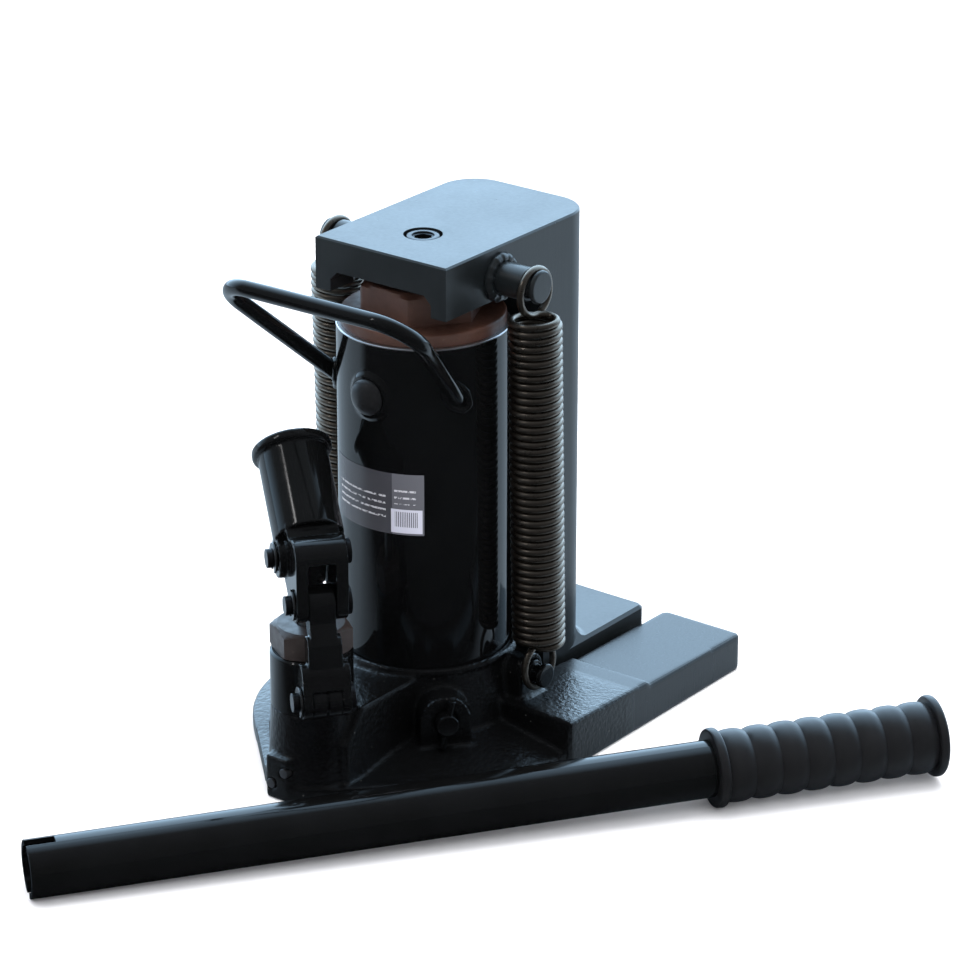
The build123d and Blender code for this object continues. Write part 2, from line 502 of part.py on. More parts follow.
def socket_place():
    """Frame of the handle socket: origin on pin A, z along the tube, x across it, away from the floor."""
    lean = radians(SOCKET_LEAN)
    along = LEVER_U * -sin(lean) + Vector(0, 0, cos(lean))
    across = LEVER_U * cos(lean) + Vector(0, 0, sin(lean))
    origin = Vector(0, PUMP_Y, 0) + LEVER_U * PIN_A[0] + Vector(0, 0, PIN_A[1])
    return Plane(origin=origin, x_dir=across, z_dir=along)


def handle_socket():
    """Tube that takes the handle bar, on a fork that straddles plunger and link."""
    place = socket_place()
    tube = Pos(0, 0, SOCKET_BOTTOM) * Cylinder(SOCKET_R, SOCKET_TOP - SOCKET_BOTTOM, align=UP)
    bead = Pos(0, 0, SOCKET_TOP - BEAD_T) * Cylinder(BEAD_R, BEAD_T, align=UP)
    tube += fillet(bead.edges().filter_by(GeomType.CIRCLE), 1.6)
    tube -= Pos(0, 0, SOCKET_FLOOR) * Cylinder(SOCKET_BORE_R, SOCKET_TOP, align=UP)
    tube = place * Pos(SOCKET_OFFSET, 0, 0) * tube
    arms = in_lever(lever_hull((PIN_B, ARM_R), (PIN_A, ARM_R), (ARM_SHOULDER, ARM_R)), -ARM_OUT, ARM_OUT)
    ears = in_lever(Pos(*PIN_A) * Circle(EAR_R), -EAR_OUT, EAR_OUT)
    neck = place * Pos(SOCKET_OFFSET - 1, 0, 0) * Box(2 * SOCKET_R - 8, 2 * ARM_OUT, 2 * SOCKET_BOTTOM + 4)
    bore = Pos(SOCKET_OFFSET, 0, SOCKET_FLOOR) * Cylinder(SOCKET_BORE_R, SOCKET_TOP, align=UP)
    body = arms + ears + neck - place * bore
    body += tube
    slot = lever_hull((PIN_B, ARM_R + 2.5), (PIN_A, TONGUE_R + 2.4), ((PIN_B[0], 60.0), ARM_R + 3),
                      ((-10.0, 95.0), ARM_R + 3), ((PIN_B[0] + 15, 110.0), ARM_R + 3))
    body -= in_lever(slot, -ARM_IN, ARM_IN)
    body -= in_lever(Pos(*PIN_B) * Circle(PIN_R), -ARM_OUT - 1, ARM_OUT + 1)
    reach = Vector(-sin(radians(SOCKET_LEAN)), cos(radians(SOCKET_LEAN)))
    back = (PIN_A[0] - reach.X * SLOT_BACK, PIN_A[1] - reach.Y * SLOT_BACK)
    ahead = (PIN_A[0] + reach.X * SLOT_AHEAD, PIN_A[1] + reach.Y * SLOT_AHEAD)
    return body - in_lever(lever_hull((back, SLOT_R), (ahead, SLOT_R)), -EAR_OUT - 1, EAR_OUT + 1)


# ---- release valve -------------------------------------------------------------------------------------
def valve_pin_place():
    """Place of the cross pin in the release valve's end."""
    return VALVE * Pos(0, 0, VALVE_PIN_AT) * Rot(0, 0, VALVE_PIN_TILT) * Rot(0, 90, 0)


def release_valve():
    """Release valve screw with a pointed tip, a seal groove and a cross hole."""
    body = turned([(0, VALVE_TIP), (1.5, VALVE_TIP), (VALVE_STEM_R, VALVE_TIP + 6), (VALVE_STEM_R, 44),
                   (VALVE_STEM_R - 1.6, 44), (VALVE_STEM_R - 1.6, 47), (VALVE_STEM_R, 47),
                   (VALVE_STEM_R, VALVE_END - 0.6), (VALVE_STEM_R - 0.6, VALVE_END), (0, VALVE_END)])
    return VALVE * body - valve_pin_place() * Cylinder(VALVE_PIN_R, 40)


def release_valve_seal():
    """Seal ring in the groove of the release valve."""
    return VALVE * ring(VALVE_STEM_R, VALVE_STEM_R - 1.6, 44, 47)


def release_pin():
    """Cross pin that the slotted end of the handle bar turns."""
    return valve_pin_place() * Cylinder(VALVE_PIN_R, 2 * VALVE_PIN_HALF)


# ---- handle bar ----------------------------------------------------------------------------------------
def bar_place():
    """Frame of the handle bar: origin at its slotted end, z along the bar."""
    rise = asin((GRIP_INNER_FLANGE_R - BAR_R) / (BAR_LENGTH - GRIP_LENGTH))
    heading = radians(BAR_HEADING)
    along = Vector(cos(heading) * cos(rise), sin(heading) * cos(rise), sin(rise))
    side = Vector(-sin(heading), cos(heading), 0)
    return Plane(origin=(BAR_END[0], BAR_END[1], BAR_R), x_dir=side, z_dir=along)


def handle_tube():
    """Steel tube with two slots at the end that fits the release pin."""
    tube = Cylinder(BAR_NECK_R, BAR_LENGTH - GRIP_CAP_T, align=UP)
    tube += Cylinder(BAR_R, BAR_LENGTH - GRIP_LENGTH, align=UP)
    tube -= Pos(0, 0, -1) * Cylinder(BAR_R - BAR_WALL, BAR_LENGTH, align=UP)
    return bar_place() * (tube - Box(BAR_SLOT_W, 40, 2 * BAR_SLOT_LENGTH))


def handle_grip():
    """Moulded grip with a row of finger bulges between two flanges and a closed end."""
    start = BAR_LENGTH - GRIP_LENGTH
    first, last = start + GRIP_FLANGE_T, BAR_LENGTH - GRIP_FLANGE_T
    pitch = (last - first) / GRIP_BULGES
    outline = [Polyline((BAR_NECK_R, start), (GRIP_INNER_FLANGE_R, start), (GRIP_INNER_FLANGE_R, first),
                        (GRIP_VALLEY_R, first))]
    for bulge in range(GRIP_BULGES):
        z = first + bulge * pitch
        outline.append(ThreePointArc((GRIP_VALLEY_R, z), (GRIP_BULGE_R, z + pitch / 2),
                                     (GRIP_VALLEY_R, z + pitch)))
    outline.append(Polyline((GRIP_VALLEY_R, last), (GRIP_FLANGE_R, last), (GRIP_FLANGE_R, BAR_LENGTH),
                            (0, BAR_LENGTH), (0, BAR_LENGTH - GRIP_CAP_T),
                            (BAR_NECK_R, BAR_LENGTH - GRIP_CAP_T), (BAR_NECK_R, start)))
    return bar_place() * revolve(make_face(Plane.XZ * Curve(outline)), Axis.Z)


# ---- all nodes -----------------------------------------------------------------------------------------
def build_nodes():
    """Every node of the jack, as name: solid or list of equal solids."""
    piston_z = RAM_Z0 + CUP_H
    spring_right = return_spring()
    plunger_side = EAR_OUT + 0.6
    return {
        "base_casting": base_casting(),
        "passage_plugs": passage_plugs(),
        "check_balls": check_balls(),
        "spring_studs": spring_studs(),
        "tank_gasket_lower": ring(TANK_R, TANK_R - TANK_WALL, TANK_Z0 - GASKET_T, TANK_Z0),
        "tank": tank(),
        "tank_seal_upper": tank_seal_upper(),
        "cylinder_gasket": ring(CYL_R, CYL_BORE_R, CYL_Z0 - GASKET_T, CYL_Z0),
        "ram_cylinder": ring(CYL_R, CYL_BORE_R, CYL_Z0, CYL_Z1),
        "top_nut": top_nut(),
        "ram_wiper": ring(WIPER_R, RAM_R + RUN, NUT_TOP_Z - WIPER_H, NUT_TOP_Z),
        "filler_plug": filler_plug(),
        "rating_plate": rating_plate(),
        "carry_handle": carry_handle(),
        "carry_handle_welds": carry_handle_welds(),
        "pump_body": pump_body(),
        "pump_packing": pump_packing(),
        "pump_gland_nut": pump_gland_nut(),
        "return_spring_right": spring_right,
        "return_spring_left": mirror(spring_right, Plane.YZ),
        "claw": claw(),
        "head_screw": head_screw(),
        "ram": ram(),
        "ram_piston": ring(CYL_BORE_R - RUN, RAM_R - 6, piston_z, piston_z + PISTON_H),
        "piston_cup_seal": ring(CYL_BORE_R - RUN, RAM_R - 6, RAM_Z0, piston_z),
        "hanger_pins": hanger_pins(),
        "hanger_welds": hanger_welds(),
        "pump_plunger": pump_plunger(),
        "plunger_pin": lever_pin(PIN_A, plunger_side, EAR_OUT + 2 * GAP, 6.0),
        "plunger_pin_clip": clip(PIN_A, plunger_side),
        "pump_link": pump_link(),
        "link_foot_pin": lever_pin(PIN_C, CLEVIS_HALF + 0.2, CLEVIS_HALF, 6.8),
        "link_foot_clip": clip(PIN_C, CLEVIS_HALF + 0.2),
        "handle_socket": handle_socket(),
        "socket_pin": lever_pin(PIN_B, ARM_OUT + 0.2, ARM_OUT, 6.8),
        "socket_pin_clip": clip(PIN_B, ARM_OUT + 0.2),
        "release_valve": release_valve(),
        "release_valve_seal": release_valve_seal(),
        "release_pin": release_pin(),
        "handle_tube": handle_tube(),
        "handle_grip": handle_grip(),
    }


def main():
    """Write every node to its own STEP file."""
    os.makedirs("parts", exist_ok=True)
    for name, solids in build_nodes().items():
        group = Compound(solids) if isinstance(solids, list) else solids
        export_step(group, f"parts/{name}.step")


main()
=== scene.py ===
"""Looks of the hydraulic toe jack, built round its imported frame.

Sizes in the classes are in millimetres and angles in degrees. The jack stands on z = 0 with its ram
on the Z axis, the pump towards -Y and the lifting toe towards +Y. Meshes are written in metres, with
their place in the mesh, so that every object stays at the origin.
"""

import json
import logging
from dataclasses import dataclass
from enum import Enum
from math import cos, pi, radians, sin
from typing import Callable, Optional, Sequence, Union

import bmesh
import bpy
import numpy as np
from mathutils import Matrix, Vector


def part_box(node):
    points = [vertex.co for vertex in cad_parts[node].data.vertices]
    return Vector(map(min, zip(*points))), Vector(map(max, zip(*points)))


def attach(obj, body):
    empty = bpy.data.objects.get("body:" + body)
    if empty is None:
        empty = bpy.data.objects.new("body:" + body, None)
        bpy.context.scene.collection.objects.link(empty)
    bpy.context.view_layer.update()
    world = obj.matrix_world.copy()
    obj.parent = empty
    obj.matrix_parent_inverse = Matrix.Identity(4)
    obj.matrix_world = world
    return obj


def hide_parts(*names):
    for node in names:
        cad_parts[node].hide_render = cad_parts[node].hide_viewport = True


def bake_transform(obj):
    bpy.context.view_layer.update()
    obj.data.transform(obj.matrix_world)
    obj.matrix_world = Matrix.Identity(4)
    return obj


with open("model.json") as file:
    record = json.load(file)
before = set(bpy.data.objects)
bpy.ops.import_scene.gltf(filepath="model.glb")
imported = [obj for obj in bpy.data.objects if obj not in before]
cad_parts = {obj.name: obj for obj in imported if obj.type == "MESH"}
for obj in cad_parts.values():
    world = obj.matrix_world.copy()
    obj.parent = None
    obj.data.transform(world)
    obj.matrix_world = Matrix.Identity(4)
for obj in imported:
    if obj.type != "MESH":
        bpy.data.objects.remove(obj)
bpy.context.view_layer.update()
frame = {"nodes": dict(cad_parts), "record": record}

MM = 0.001
MERGE = 2e-6
Array = np.ndarray
Triple = tuple[float, float, float]
Socket = bpy.types.NodeSocket
log = logging.getLogger("toe_jack")


class Body(Enum):
    """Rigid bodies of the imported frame."""

    BASE = "base"
    CLAW = "claw"
    PLUNGER = "plunger"
    LINK = "link"
    SOCKET = "socket"
    VALVE = "valve"
    BAR = "handle_bar"


class Slot(Enum):
    """Material slots of the record."""

    ENAMEL = "black_gloss_paint"
    SATIN = "satin_paint"
    PRIMER = "primer_brown"
    STEEL = "bare_steel"
    CLIP = "clip_steel"
    SPRING = "spring_steel"
    RUBBER = "black_rubber"
    GASKET = "copper_gasket"
    PLATE = "plate_film"


class Worked(Enum):
    """How the edges of a copied CAD solid are finished."""

    BEVELLED = "bevelled"
    CAST = "cast"


# ---- small helpers ---------------------------------------------------------------------------------
def unit(vector: Sequence[float]) -> Array:
    """The vector divided by its own length."""
    array = np.asarray(vector, float)
    return array / np.linalg.norm(array)


def ease(value: Array, low: float, high: float) -> Array:
    """Smooth step from 0 at low to 1 at high: t squared times (3 - 2t)."""
    t = np.clip((value - low) / (high - low), 0.0, 1.0)
    return t * t * (3 - 2 * t)


def joint(name: str) -> dict:
    """The record's entry for a joint."""
    return next(j for j in frame["record"]["behaviour"]["joints"] if j["name"] == name)


def joint_place(name: str) -> tuple[Array, Array]:
    """A hinge's point in mm and its axis."""
    entry = joint(name)
    return np.array(entry["pos_m"]) / MM, unit(entry["axis"])


def box_mm(node: str) -> tuple[Array, Array]:
    """Lowest and highest corners of a CAD node, in mm."""
    low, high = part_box(node)
    return np.array(low) / MM, np.array(high) / MM


@dataclass(frozen=True)
class Place:
    """Local frame of a turned or swept shape: z runs along it and x across it."""

    origin: Sequence[float] = (0.0, 0.0, 0.0)
    along: Sequence[float] = (0.0, 0.0, 1.0)
    across: Sequence[float] = (1.0, 0.0, 0.0)

    def axes(self) -> Array:
        """Rows are the unit x, y and z axes; x is made square to z and y is z cross x."""
        z = unit(self.along)
        x = unit(np.asarray(self.across, float) - np.dot(self.across, z) * z)
        return np.array([x, np.cross(z, x), z])

    def world(self, local: Array) -> Array:
        """Local points to the jack's frame: origin plus each coordinate times its axis."""
        return np.asarray(self.origin, float) + local @ self.axes()


@dataclass
class Skin:
    """Closed surface: a grid of points in mm, rows by columns, wrapped where asked."""

    points: Array
    wrap_rows: bool = False
    wrap_cols: bool = True

    def quads(self) -> Array:
        """Faces between neighbouring rows and columns, turned so that the volume is positive."""
        rows, cols = self.points.shape[:2]
        ids = np.arange(rows * cols).reshape(rows, cols)
        if self.wrap_rows:
            ids = np.vstack([ids, ids[:1]])
        if self.wrap_cols:
            ids = np.hstack([ids, ids[:, :1]])
        faces = np.stack([ids[:-1, :-1], ids[:-1, 1:], ids[1:, 1:], ids[1:, :-1]], axis=-1).reshape(-1, 4)
        flat = self.points.reshape(-1, 3) - self.points.reshape(-1, 3).mean(0)
        a, b, c, d = (flat[faces[:, k]] for k in range(4))
        volume = np.einsum("ij,ij->", a, np.cross(b, c)) + np.einsum("ij,ij->", a, np.cross(c, d))
        return faces if volume > 0 else faces[:, ::-1]


def rounded(corners: Sequence[Sequence[float]], closed: bool = False, steps: int = 4) -> Array:
    """Outline whose corners are rounded.

    Each corner P is cut back by its third number along both sides, to A and B, and the gap is
    filled with the curve (1-s)^2 A + 2s(1-s) P + s^2 B.

    Args:
        corners: (radius, height) or (radius, height, cut) in mm.
        closed: whether the outline returns to its first corner; not used.
        steps: pieces in each rounded corner.

    Returns:
        Points of the outline, one (radius, height) a row.
    """
    flat = [np.array(c[:2], float) for c in corners]
    cuts = [c[2] if len(c) > 2 else 0.0 for c in corners]
    s = np.linspace(0, 1, steps + 1)[:, None]
    out = []
    for i, (p, cut) in enumerate(zip(flat, cuts)):
        if not cut:
            out.append(p[None])
            continue
        before, after = flat[i - 1], flat[(i + 1) % len(flat)]
        a, b = p + cut * unit(before - p), p + cut * unit(after - p)
        out.append((1 - s) ** 2 * a + 2 * s * (1 - s) * p + s ** 2 * b)
    return np.vstack(out)


def lathe(
    outline: Array,
    place: Place = Place(),
    sides: int = 96,
    closed: bool = False,
    shape: Optional[Callable[[Array, Array, Array], Array]] = None,
) -> Skin:
    """Carries an outline round an axis: (r cos a, r sin a, h) for the angle a.

    Args:
        outline: (radius, height) points in mm.
        place: where the axis stands.
        sides: columns round the axis.
        closed: whether the outline is a loop, as on a ring; otherwise it starts and ends on the axis.
        shape: gives a new radius from (radius, angle, height), such as a hexagon's.

    Returns:
        The closed surface.
    """
    angle = np.linspace(0, 2 * pi, sides, endpoint=False)[None, :]
    radius = np.repeat(outline[:, :1], sides, axis=1)
    height = np.repeat(outline[:, 1:2], sides, axis=1)
    if shape is not None:
        radius = shape(radius, angle, height)
    local = np.stack([radius * np.cos(angle), radius * np.sin(angle), height], axis=-1)
    return Skin(place.world(local), wrap_rows=closed)


def sweep(
    path: Array,
    normal: Array,
    radius: Union[float, Array],
    sides: int = 16,
    closed: bool = False,
    cap: float = 1.0,
) -> Skin:
    """Round section carried along a path: point + radius (n cos a + b sin a).

    The normal n is made square to the path's tangent and b is tangent cross n. Open ends get a
    dome, whose rows shrink by the cosine of an angle while they step outwards by its sine.

    Args:
        path: points in mm.
        normal: one reference direction, or one for each point.
        radius: one radius in mm, or one for each point.
        sides: columns round the section.
        closed: whether the path is a loop.
        cap: how tall the end domes are, as a share of the radius.

    Returns:
        The closed surface.
    """
    count = len(path)
    radii = np.broadcast_to(np.asarray(radius, float), (count,)).copy()
    normals = np.broadcast_to(np.asarray(normal, float), (count, 3)).copy()
    if closed:
        tangent = np.roll(path, -1, axis=0) - np.roll(path, 1, axis=0)
    else:
        tangent = np.gradient(path, axis=0)
    tangent /= np.linalg.norm(tangent, axis=1)[:, None]
    if not closed:
        turn = np.linspace(pi / 2, 0, 6)[:-1]
        first = path[0] - cap * radii[0] * np.sin(turn)[:, None] * tangent[0]
        last = path[-1] + cap * radii[-1] * np.sin(turn)[::-1, None] * tangent[-1]
        path = np.vstack([first, path, last])
        radii = np.concatenate([radii[0] * np.cos(turn), radii, radii[-1] * np.cos(turn)[::-1]])
        tangent = np.vstack([np.repeat(tangent[:1], 5, 0), tangent, np.repeat(tangent[-1:], 5, 0)])
        normals = np.vstack([np.repeat(normals[:1], 5, 0), normals, np.repeat(normals[-1:], 5, 0)])
    normals -= np.sum(normals * tangent, axis=1)[:, None] * tangent
    normals /= np.linalg.norm(normals, axis=1)[:, None]
    side = np.cross(tangent, normals)
    a = np.linspace(0, 2 * pi, sides, endpoint=False)[None, :, None]
    ring = np.cos(a) * normals[:, None] + np.sin(a) * side[:, None]
    return Skin(path[:, None] + radii[:, None, None] * ring, wrap_rows=closed)


def hexagonal(across_flats: float, heading: float, crown: Optional[Callable] = None) -> Callable:
    """Radius rule of a hexagonal bar: half the width over the cosine of the angle from each flat.

    Args:
        across_flats: width in mm.
        heading: where one corner points, in degrees.
        crown: upper bound of the radius at a height, for the turned corners.

    Returns:
        A shape for lathe(), which only holds back radii that reach outside the hexagon.
    """

    def shape(radius: Array, angle: Array, height: Array) -> Array:
        """Smaller of the outline's, the hexagon's and the crown's radius."""
        off = (angle - radians(heading)) % (pi / 3) - pi / 6
        out = np.minimum(radius, across_flats / 2 / np.cos(off))
        return np.minimum(out, crown(height)) if crown else out

    return shape


def write_mesh(name: str, skins: Sequence[Skin]) -> bpy.types.Object:
    """One object from several closed surfaces, with poles and seams merged."""
    points, faces, start = [], [], 0
    for skin in skins:
        points.append(skin.points.reshape(-1, 3) * MM)
        faces.append(skin.quads() + start)
        start += len(points[-1])
    mesh = bpy.data.meshes.new(name)
    mesh.from_pydata(np.vstack(points), [], np.vstack(faces))
    merge(mesh)
    obj = bpy.data.objects.new(name, mesh)
    bpy.context.scene.collection.objects.link(obj)
    return obj


def merge(mesh: bpy.types.Mesh, flatten: float = 0.0) -> None:
    """Merges points that meet, and joins faces that lie within flatten degrees of one plane."""
    work = bmesh.new()
    work.from_mesh(mesh)
    bmesh.ops.remove_doubles(work, verts=work.verts, dist=MERGE)
    bmesh.ops.dissolve_degenerate(work, edges=work.edges, dist=MERGE / 10)
    if flatten:
        bmesh.ops.dissolve_limit(work, angle_limit=radians(flatten), verts=work.verts, edges=work.edges)
    work.to_mesh(mesh)
    work.free()
    mesh.update()


def settle(obj: bpy.types.Object, sharp: float = 40.0) -> None:
    """Fixes an object's modifiers in its mesh and shades it smooth up to the sharp angle."""
    obj.data.shade_smooth()
    obj.data.set_sharp_from_angle(angle=radians(sharp))
    weigh = obj.modifiers.new("weigh", "WEIGHTED_NORMAL")
    weigh.keep_sharp = True
    bpy.context.view_layer.update()
    done = bpy.data.meshes.new_from_object(obj.evaluated_get(bpy.context.evaluated_depsgraph_get()))
    obj.modifiers.clear()
    obj.data = done


def worked_copy(node: str, name: str, way: Worked, size: float, smooth: int = 4) -> bpy.types.Object:
    """Copy of a CAD solid with worked edges.

    Args:
        node: the CAD node to copy.
        name: name of the new object.
        way: bevelled edges, or the all-over softness of a casting.
        size: width of the bevel, or pitch of the casting's surface, in mm.
        smooth: rounds of smoothing on a casting.

    Returns:
        The new object.
    """
    mesh = frame["nodes"][node].data.copy()
    mesh.materials.clear()
    merge(mesh, 0.0 if way is Worked.CAST else 0.4)
    obj = bpy.data.objects.new(name, mesh)
    bpy.context.scene.collection.objects.link(obj)
    if way is Worked.CAST:
        remesh = obj.modifiers.new("remesh", "REMESH")
        remesh.mode = "VOXEL"
        remesh.voxel_size = size * MM
        soften = obj.modifiers.new("soften", "SMOOTH")
        soften.factor = 0.5
        soften.iterations = smooth
    else:
        bevel = obj.modifiers.new("bevel", "BEVEL")
        bevel.width = size * MM
        bevel.segments = 3
        bevel.limit_method = "ANGLE"
        bevel.angle_limit = radians(32)
        bevel.use_clamp_overlap = True
    return obj


def fit(
    obj: bpy.types.Object,
    body: Body,
    nodes: Sequence[str],
    material: bpy.types.Material,
    sharp: float = 40.0,
) -> bpy.types.Object:
    """Finishes a piece: settles its mesh, paints it, gives it its body and hides its nodes."""
    settle(obj, sharp)
    obj.data.materials.clear()
    obj.data.materials.append(material)
    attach(obj, body.value)
    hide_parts(*nodes)
    log.info("%s: %d faces on %s, for %s", obj.name, len(obj.data.polygons), body.value, ", ".join(nodes))
    return obj


def piece(
    name: str,
    skins: Sequence[Skin],
    body: Body,
    node: str,
    material: bpy.types.Material,
    sharp: float = 40.0,
) -> None:
    """Makes one finished piece from closed surfaces, in place of one CAD node."""
    fit(write_mesh(name, skins), body, [node], material, sharp)


def band(inner: float, outer: float, low: float, high: float, cut_in: float, cut_out: float) -> Array:
    """Outline of a ring with its inner and its outer corners rounded."""
    corners = [(inner, low, cut_in), (outer, low, cut_out), (outer, high, cut_out), (inner, high, cut_in)]
    return rounded(corners, closed=True)


# ---- finishes --------------------------------------------------------------------------------------
class Recipe:
    """Node tree of one finish, ending in a Principled shader."""

    def __init__(self, name: str, **constants: float) -> None:
        """Starts a material and sets the shader's constant values by socket name."""
        self.material = bpy.data.materials.new(name)
        self.material.use_nodes = True
        self.tree = self.material.node_tree
        self.shader = self.tree.nodes["Principled BSDF"]
        for key, value in constants.items():
            self.shader.inputs[key.replace("_", " ")].default_value = value
        self.coords = self.tree.nodes.new("ShaderNodeTexCoord").outputs["Object"]

    def _node(self, kind: str, **settings: object) -> bpy.types.Node:
        """New node with its properties set."""
        node = self.tree.nodes.new(kind)
        for key, value in settings.items():
            setattr(node, key, value)
        return node

    def _feed(self, socket: Socket, value: object) -> None:
        """Links a socket to another, or sets its value."""
        if isinstance(value, bpy.types.NodeSocket):
            self.tree.links.new(value, socket)
        else:
            socket.default_value = value

    def mapped(self, scale: Triple) -> Socket:
        """Object coordinates scaled along each axis."""
        node = self._node("ShaderNodeMapping")
        self._feed(node.inputs["Vector"], self.coords)
        node.inputs["Scale"].default_value = scale
        return node.outputs[0]

    def noise(
        self, size: float, detail: float = 3.0, rough: float = 0.55, at: Optional[Socket] = None
    ) -> Socket:
        """Cloud noise whose features are about size mm across."""
        node = self._node("ShaderNodeTexNoise")
        self._feed(node.inputs["Vector"], at or self.coords)
        node.inputs["Scale"].default_value = 1 / (size * MM)
        node.inputs["Detail"].default_value = detail
        node.inputs["Roughness"].default_value = rough
        return node.outputs[0]

    def cells(self, size: float) -> Socket:
        """Distance to the nearest of points about size mm apart."""
        node = self._node("ShaderNodeTexVoronoi")
        self._feed(node.inputs["Vector"], self.coords)
        node.inputs["Scale"].default_value = 1 / (size * MM)
        return node.outputs["Distance"]

    def steps(self, value: Socket, *stops: tuple[float, object]) -> Socket:
        """Colour ramp; a stop's colour may be one grey level."""
        node = self._node("ShaderNodeValToRGB")
        self._feed(node.inputs[0], value)
        ramp = node.color_ramp
        while len(ramp.elements) < len(stops):
            ramp.elements.new(0.5)
        for element, (at, colour) in zip(ramp.elements, stops):
            element.position = at
            rgb = (colour,) * 3 if isinstance(colour, (int, float)) else tuple(colour)
            element.color = (*rgb, 1.0)
        return node.outputs[0]

    def blend(self, share: object, first: object, second: object, way: str = "MIX") -> Socket:
        """Mix of two colours."""
        node = self._node("ShaderNodeMix", data_type="RGBA", blend_type=way)
        for socket, value in ((node.inputs[0], share), (node.inputs[6], first), (node.inputs[7], second)):
            plain = isinstance(value, (tuple, list)) and len(value) == 3
            self._feed(socket, (*value, 1.0) if plain else value)
        return node.outputs[2]

    def sum(self, way: str, first: object, second: object = 0.0, third: object = 0.0) -> Socket:
        """Arithmetic on two or three values."""
        node = self._node("ShaderNodeMath", operation=way)
        for socket, value in zip(node.inputs, (first, second, third)):
            self._feed(socket, value)
        return node.outputs[0]

    def part(self, axis: int, at: Optional[Socket] = None) -> Socket:
        """One coordinate in metres: 0, 1 or 2 for x, y or z."""
        node = self._node("ShaderNodeSeparateXYZ")
        self._feed(node.inputs[0], at or self.coords)
        return node.outputs[axis]

    def relief(self, height: Socket, depth: float, under: Optional[Socket] = None) -> Socket:
        """Bump of a given depth in mm, on top of another."""
        node = self._node("ShaderNodeBump")
        node.inputs["Distance"].default_value = depth * MM
        self._feed(node.inputs["Height"], height)
        if under is not None:
            self._feed(node.inputs["Normal"], under)
        return node.outputs[0]

    def finish(self, **sockets: object) -> bpy.types.Material:
        """Feeds the shader's sockets by name and returns the material."""
        for key, value in sockets.items():
            self._feed(self.shader.inputs[key.replace("_", " ")], value)
        return self.material


@dataclass(frozen=True)
class Enamel:
    """Glossy black enamel, smooth on tube and bar and grainy over a casting."""

    name: str
    dark: Triple = (0.0014, 0.0015, 0.0015)
    light: Triple = (0.0036, 0.0039, 0.0043)
    gloss: float = 0.10
    peel: float = 0.012
    peel_size: float = 3.2
    grain: float = 0.0
    grain_size: float = 1.7
    specks: float = 0.0
    rim_highlight_above: float = 0.0
    # Height in mm above which bright bare metal replaces the enamel, as a painted highlight on the top rim.
    sawn_behind: float = 0.0

    def material(self) -> bpy.types.Material:
        """Orange peel and cast grain as relief, with dust specks and a painted highlight: a bright metal
        band on the tank's top rim.
        """
        r = Recipe(self.name, IOR=1.5)
        cloud = r.noise(22, 4)
        colour = r.blend(cloud, self.dark, self.light)
        rough = r.steps(r.noise(9, 5, 0.6), (0.3, self.gloss * 0.7), (0.75, self.gloss * 1.5))
        normal = r.relief(r.noise(self.peel_size, 1.5), self.peel)
        cast = 1.0
        if self.sawn_behind:
            cast = r.steps(r.part(1), (self.sawn_behind * MM, 1.0), (self.sawn_behind * MM + 0.002, 0.0))
            sawn = r.noise(1.1, 3, 0.6, r.mapped((1, 1, 0.05)))
            colour = r.blend(cast, r.blend(sawn, (0.005, 0.0065, 0.008), (0.011, 0.014, 0.017)), colour)
            rough = r.blend(cast, r.steps(sawn, (0.3, 0.26), (0.7, 0.36)), rough)
            normal = r.relief(sawn, 0.035, normal)
        if self.grain:
            lumps = r.sum("MULTIPLY", r.cells(self.grain_size * 1.6), 0.5)
            pits = r.sum("ADD", r.noise(self.grain_size, 4, 0.62), lumps)
            normal = r.relief(r.sum("MULTIPLY", pits, cast), self.grain, normal)
            share = r.sum("MULTIPLY", cast, 0.5)
            rough = r.blend(share, rough, r.steps(r.noise(3.1, 3), (0.35, 0.08), (0.7, 0.32)))
        if self.specks:
            dust = r.steps(r.cells(4.5), (0.04, 1.0), (0.075, 0.0))
            some = r.steps(r.noise(14, 2), (0.5, 0.0), (0.62, self.specks))
            mask = r.blend(1.0, dust, some, "MULTIPLY")
            colour = r.blend(mask, colour, (0.10, 0.10, 0.095))
            rough = r.blend(mask, rough, (0.5, 0.5, 0.5))
        # Painted highlight: above this height the colour turns to bright bare metal, standing in for the
        # rim's highlight.
        if self.rim_highlight_above:
            edge = r.sum("SUBTRACT", r.part(2), self.rim_highlight_above * MM)
            edge = r.sum("ADD", edge, r.sum("MULTIPLY", r.noise(4, 3), 0.0002))
            bare = r.sum("GREATER_THAN", edge, 0.0001)
            colour = r.blend(bare, colour, (0.62, 0.62, 0.64))
            rough = r.blend(bare, rough, (0.34, 0.34, 0.34))
            return r.finish(Base_Color=colour, Roughness=rough, Normal=normal, Metallic=bare)
        return r.finish(Base_Color=colour, Roughness=rough, Normal=normal)


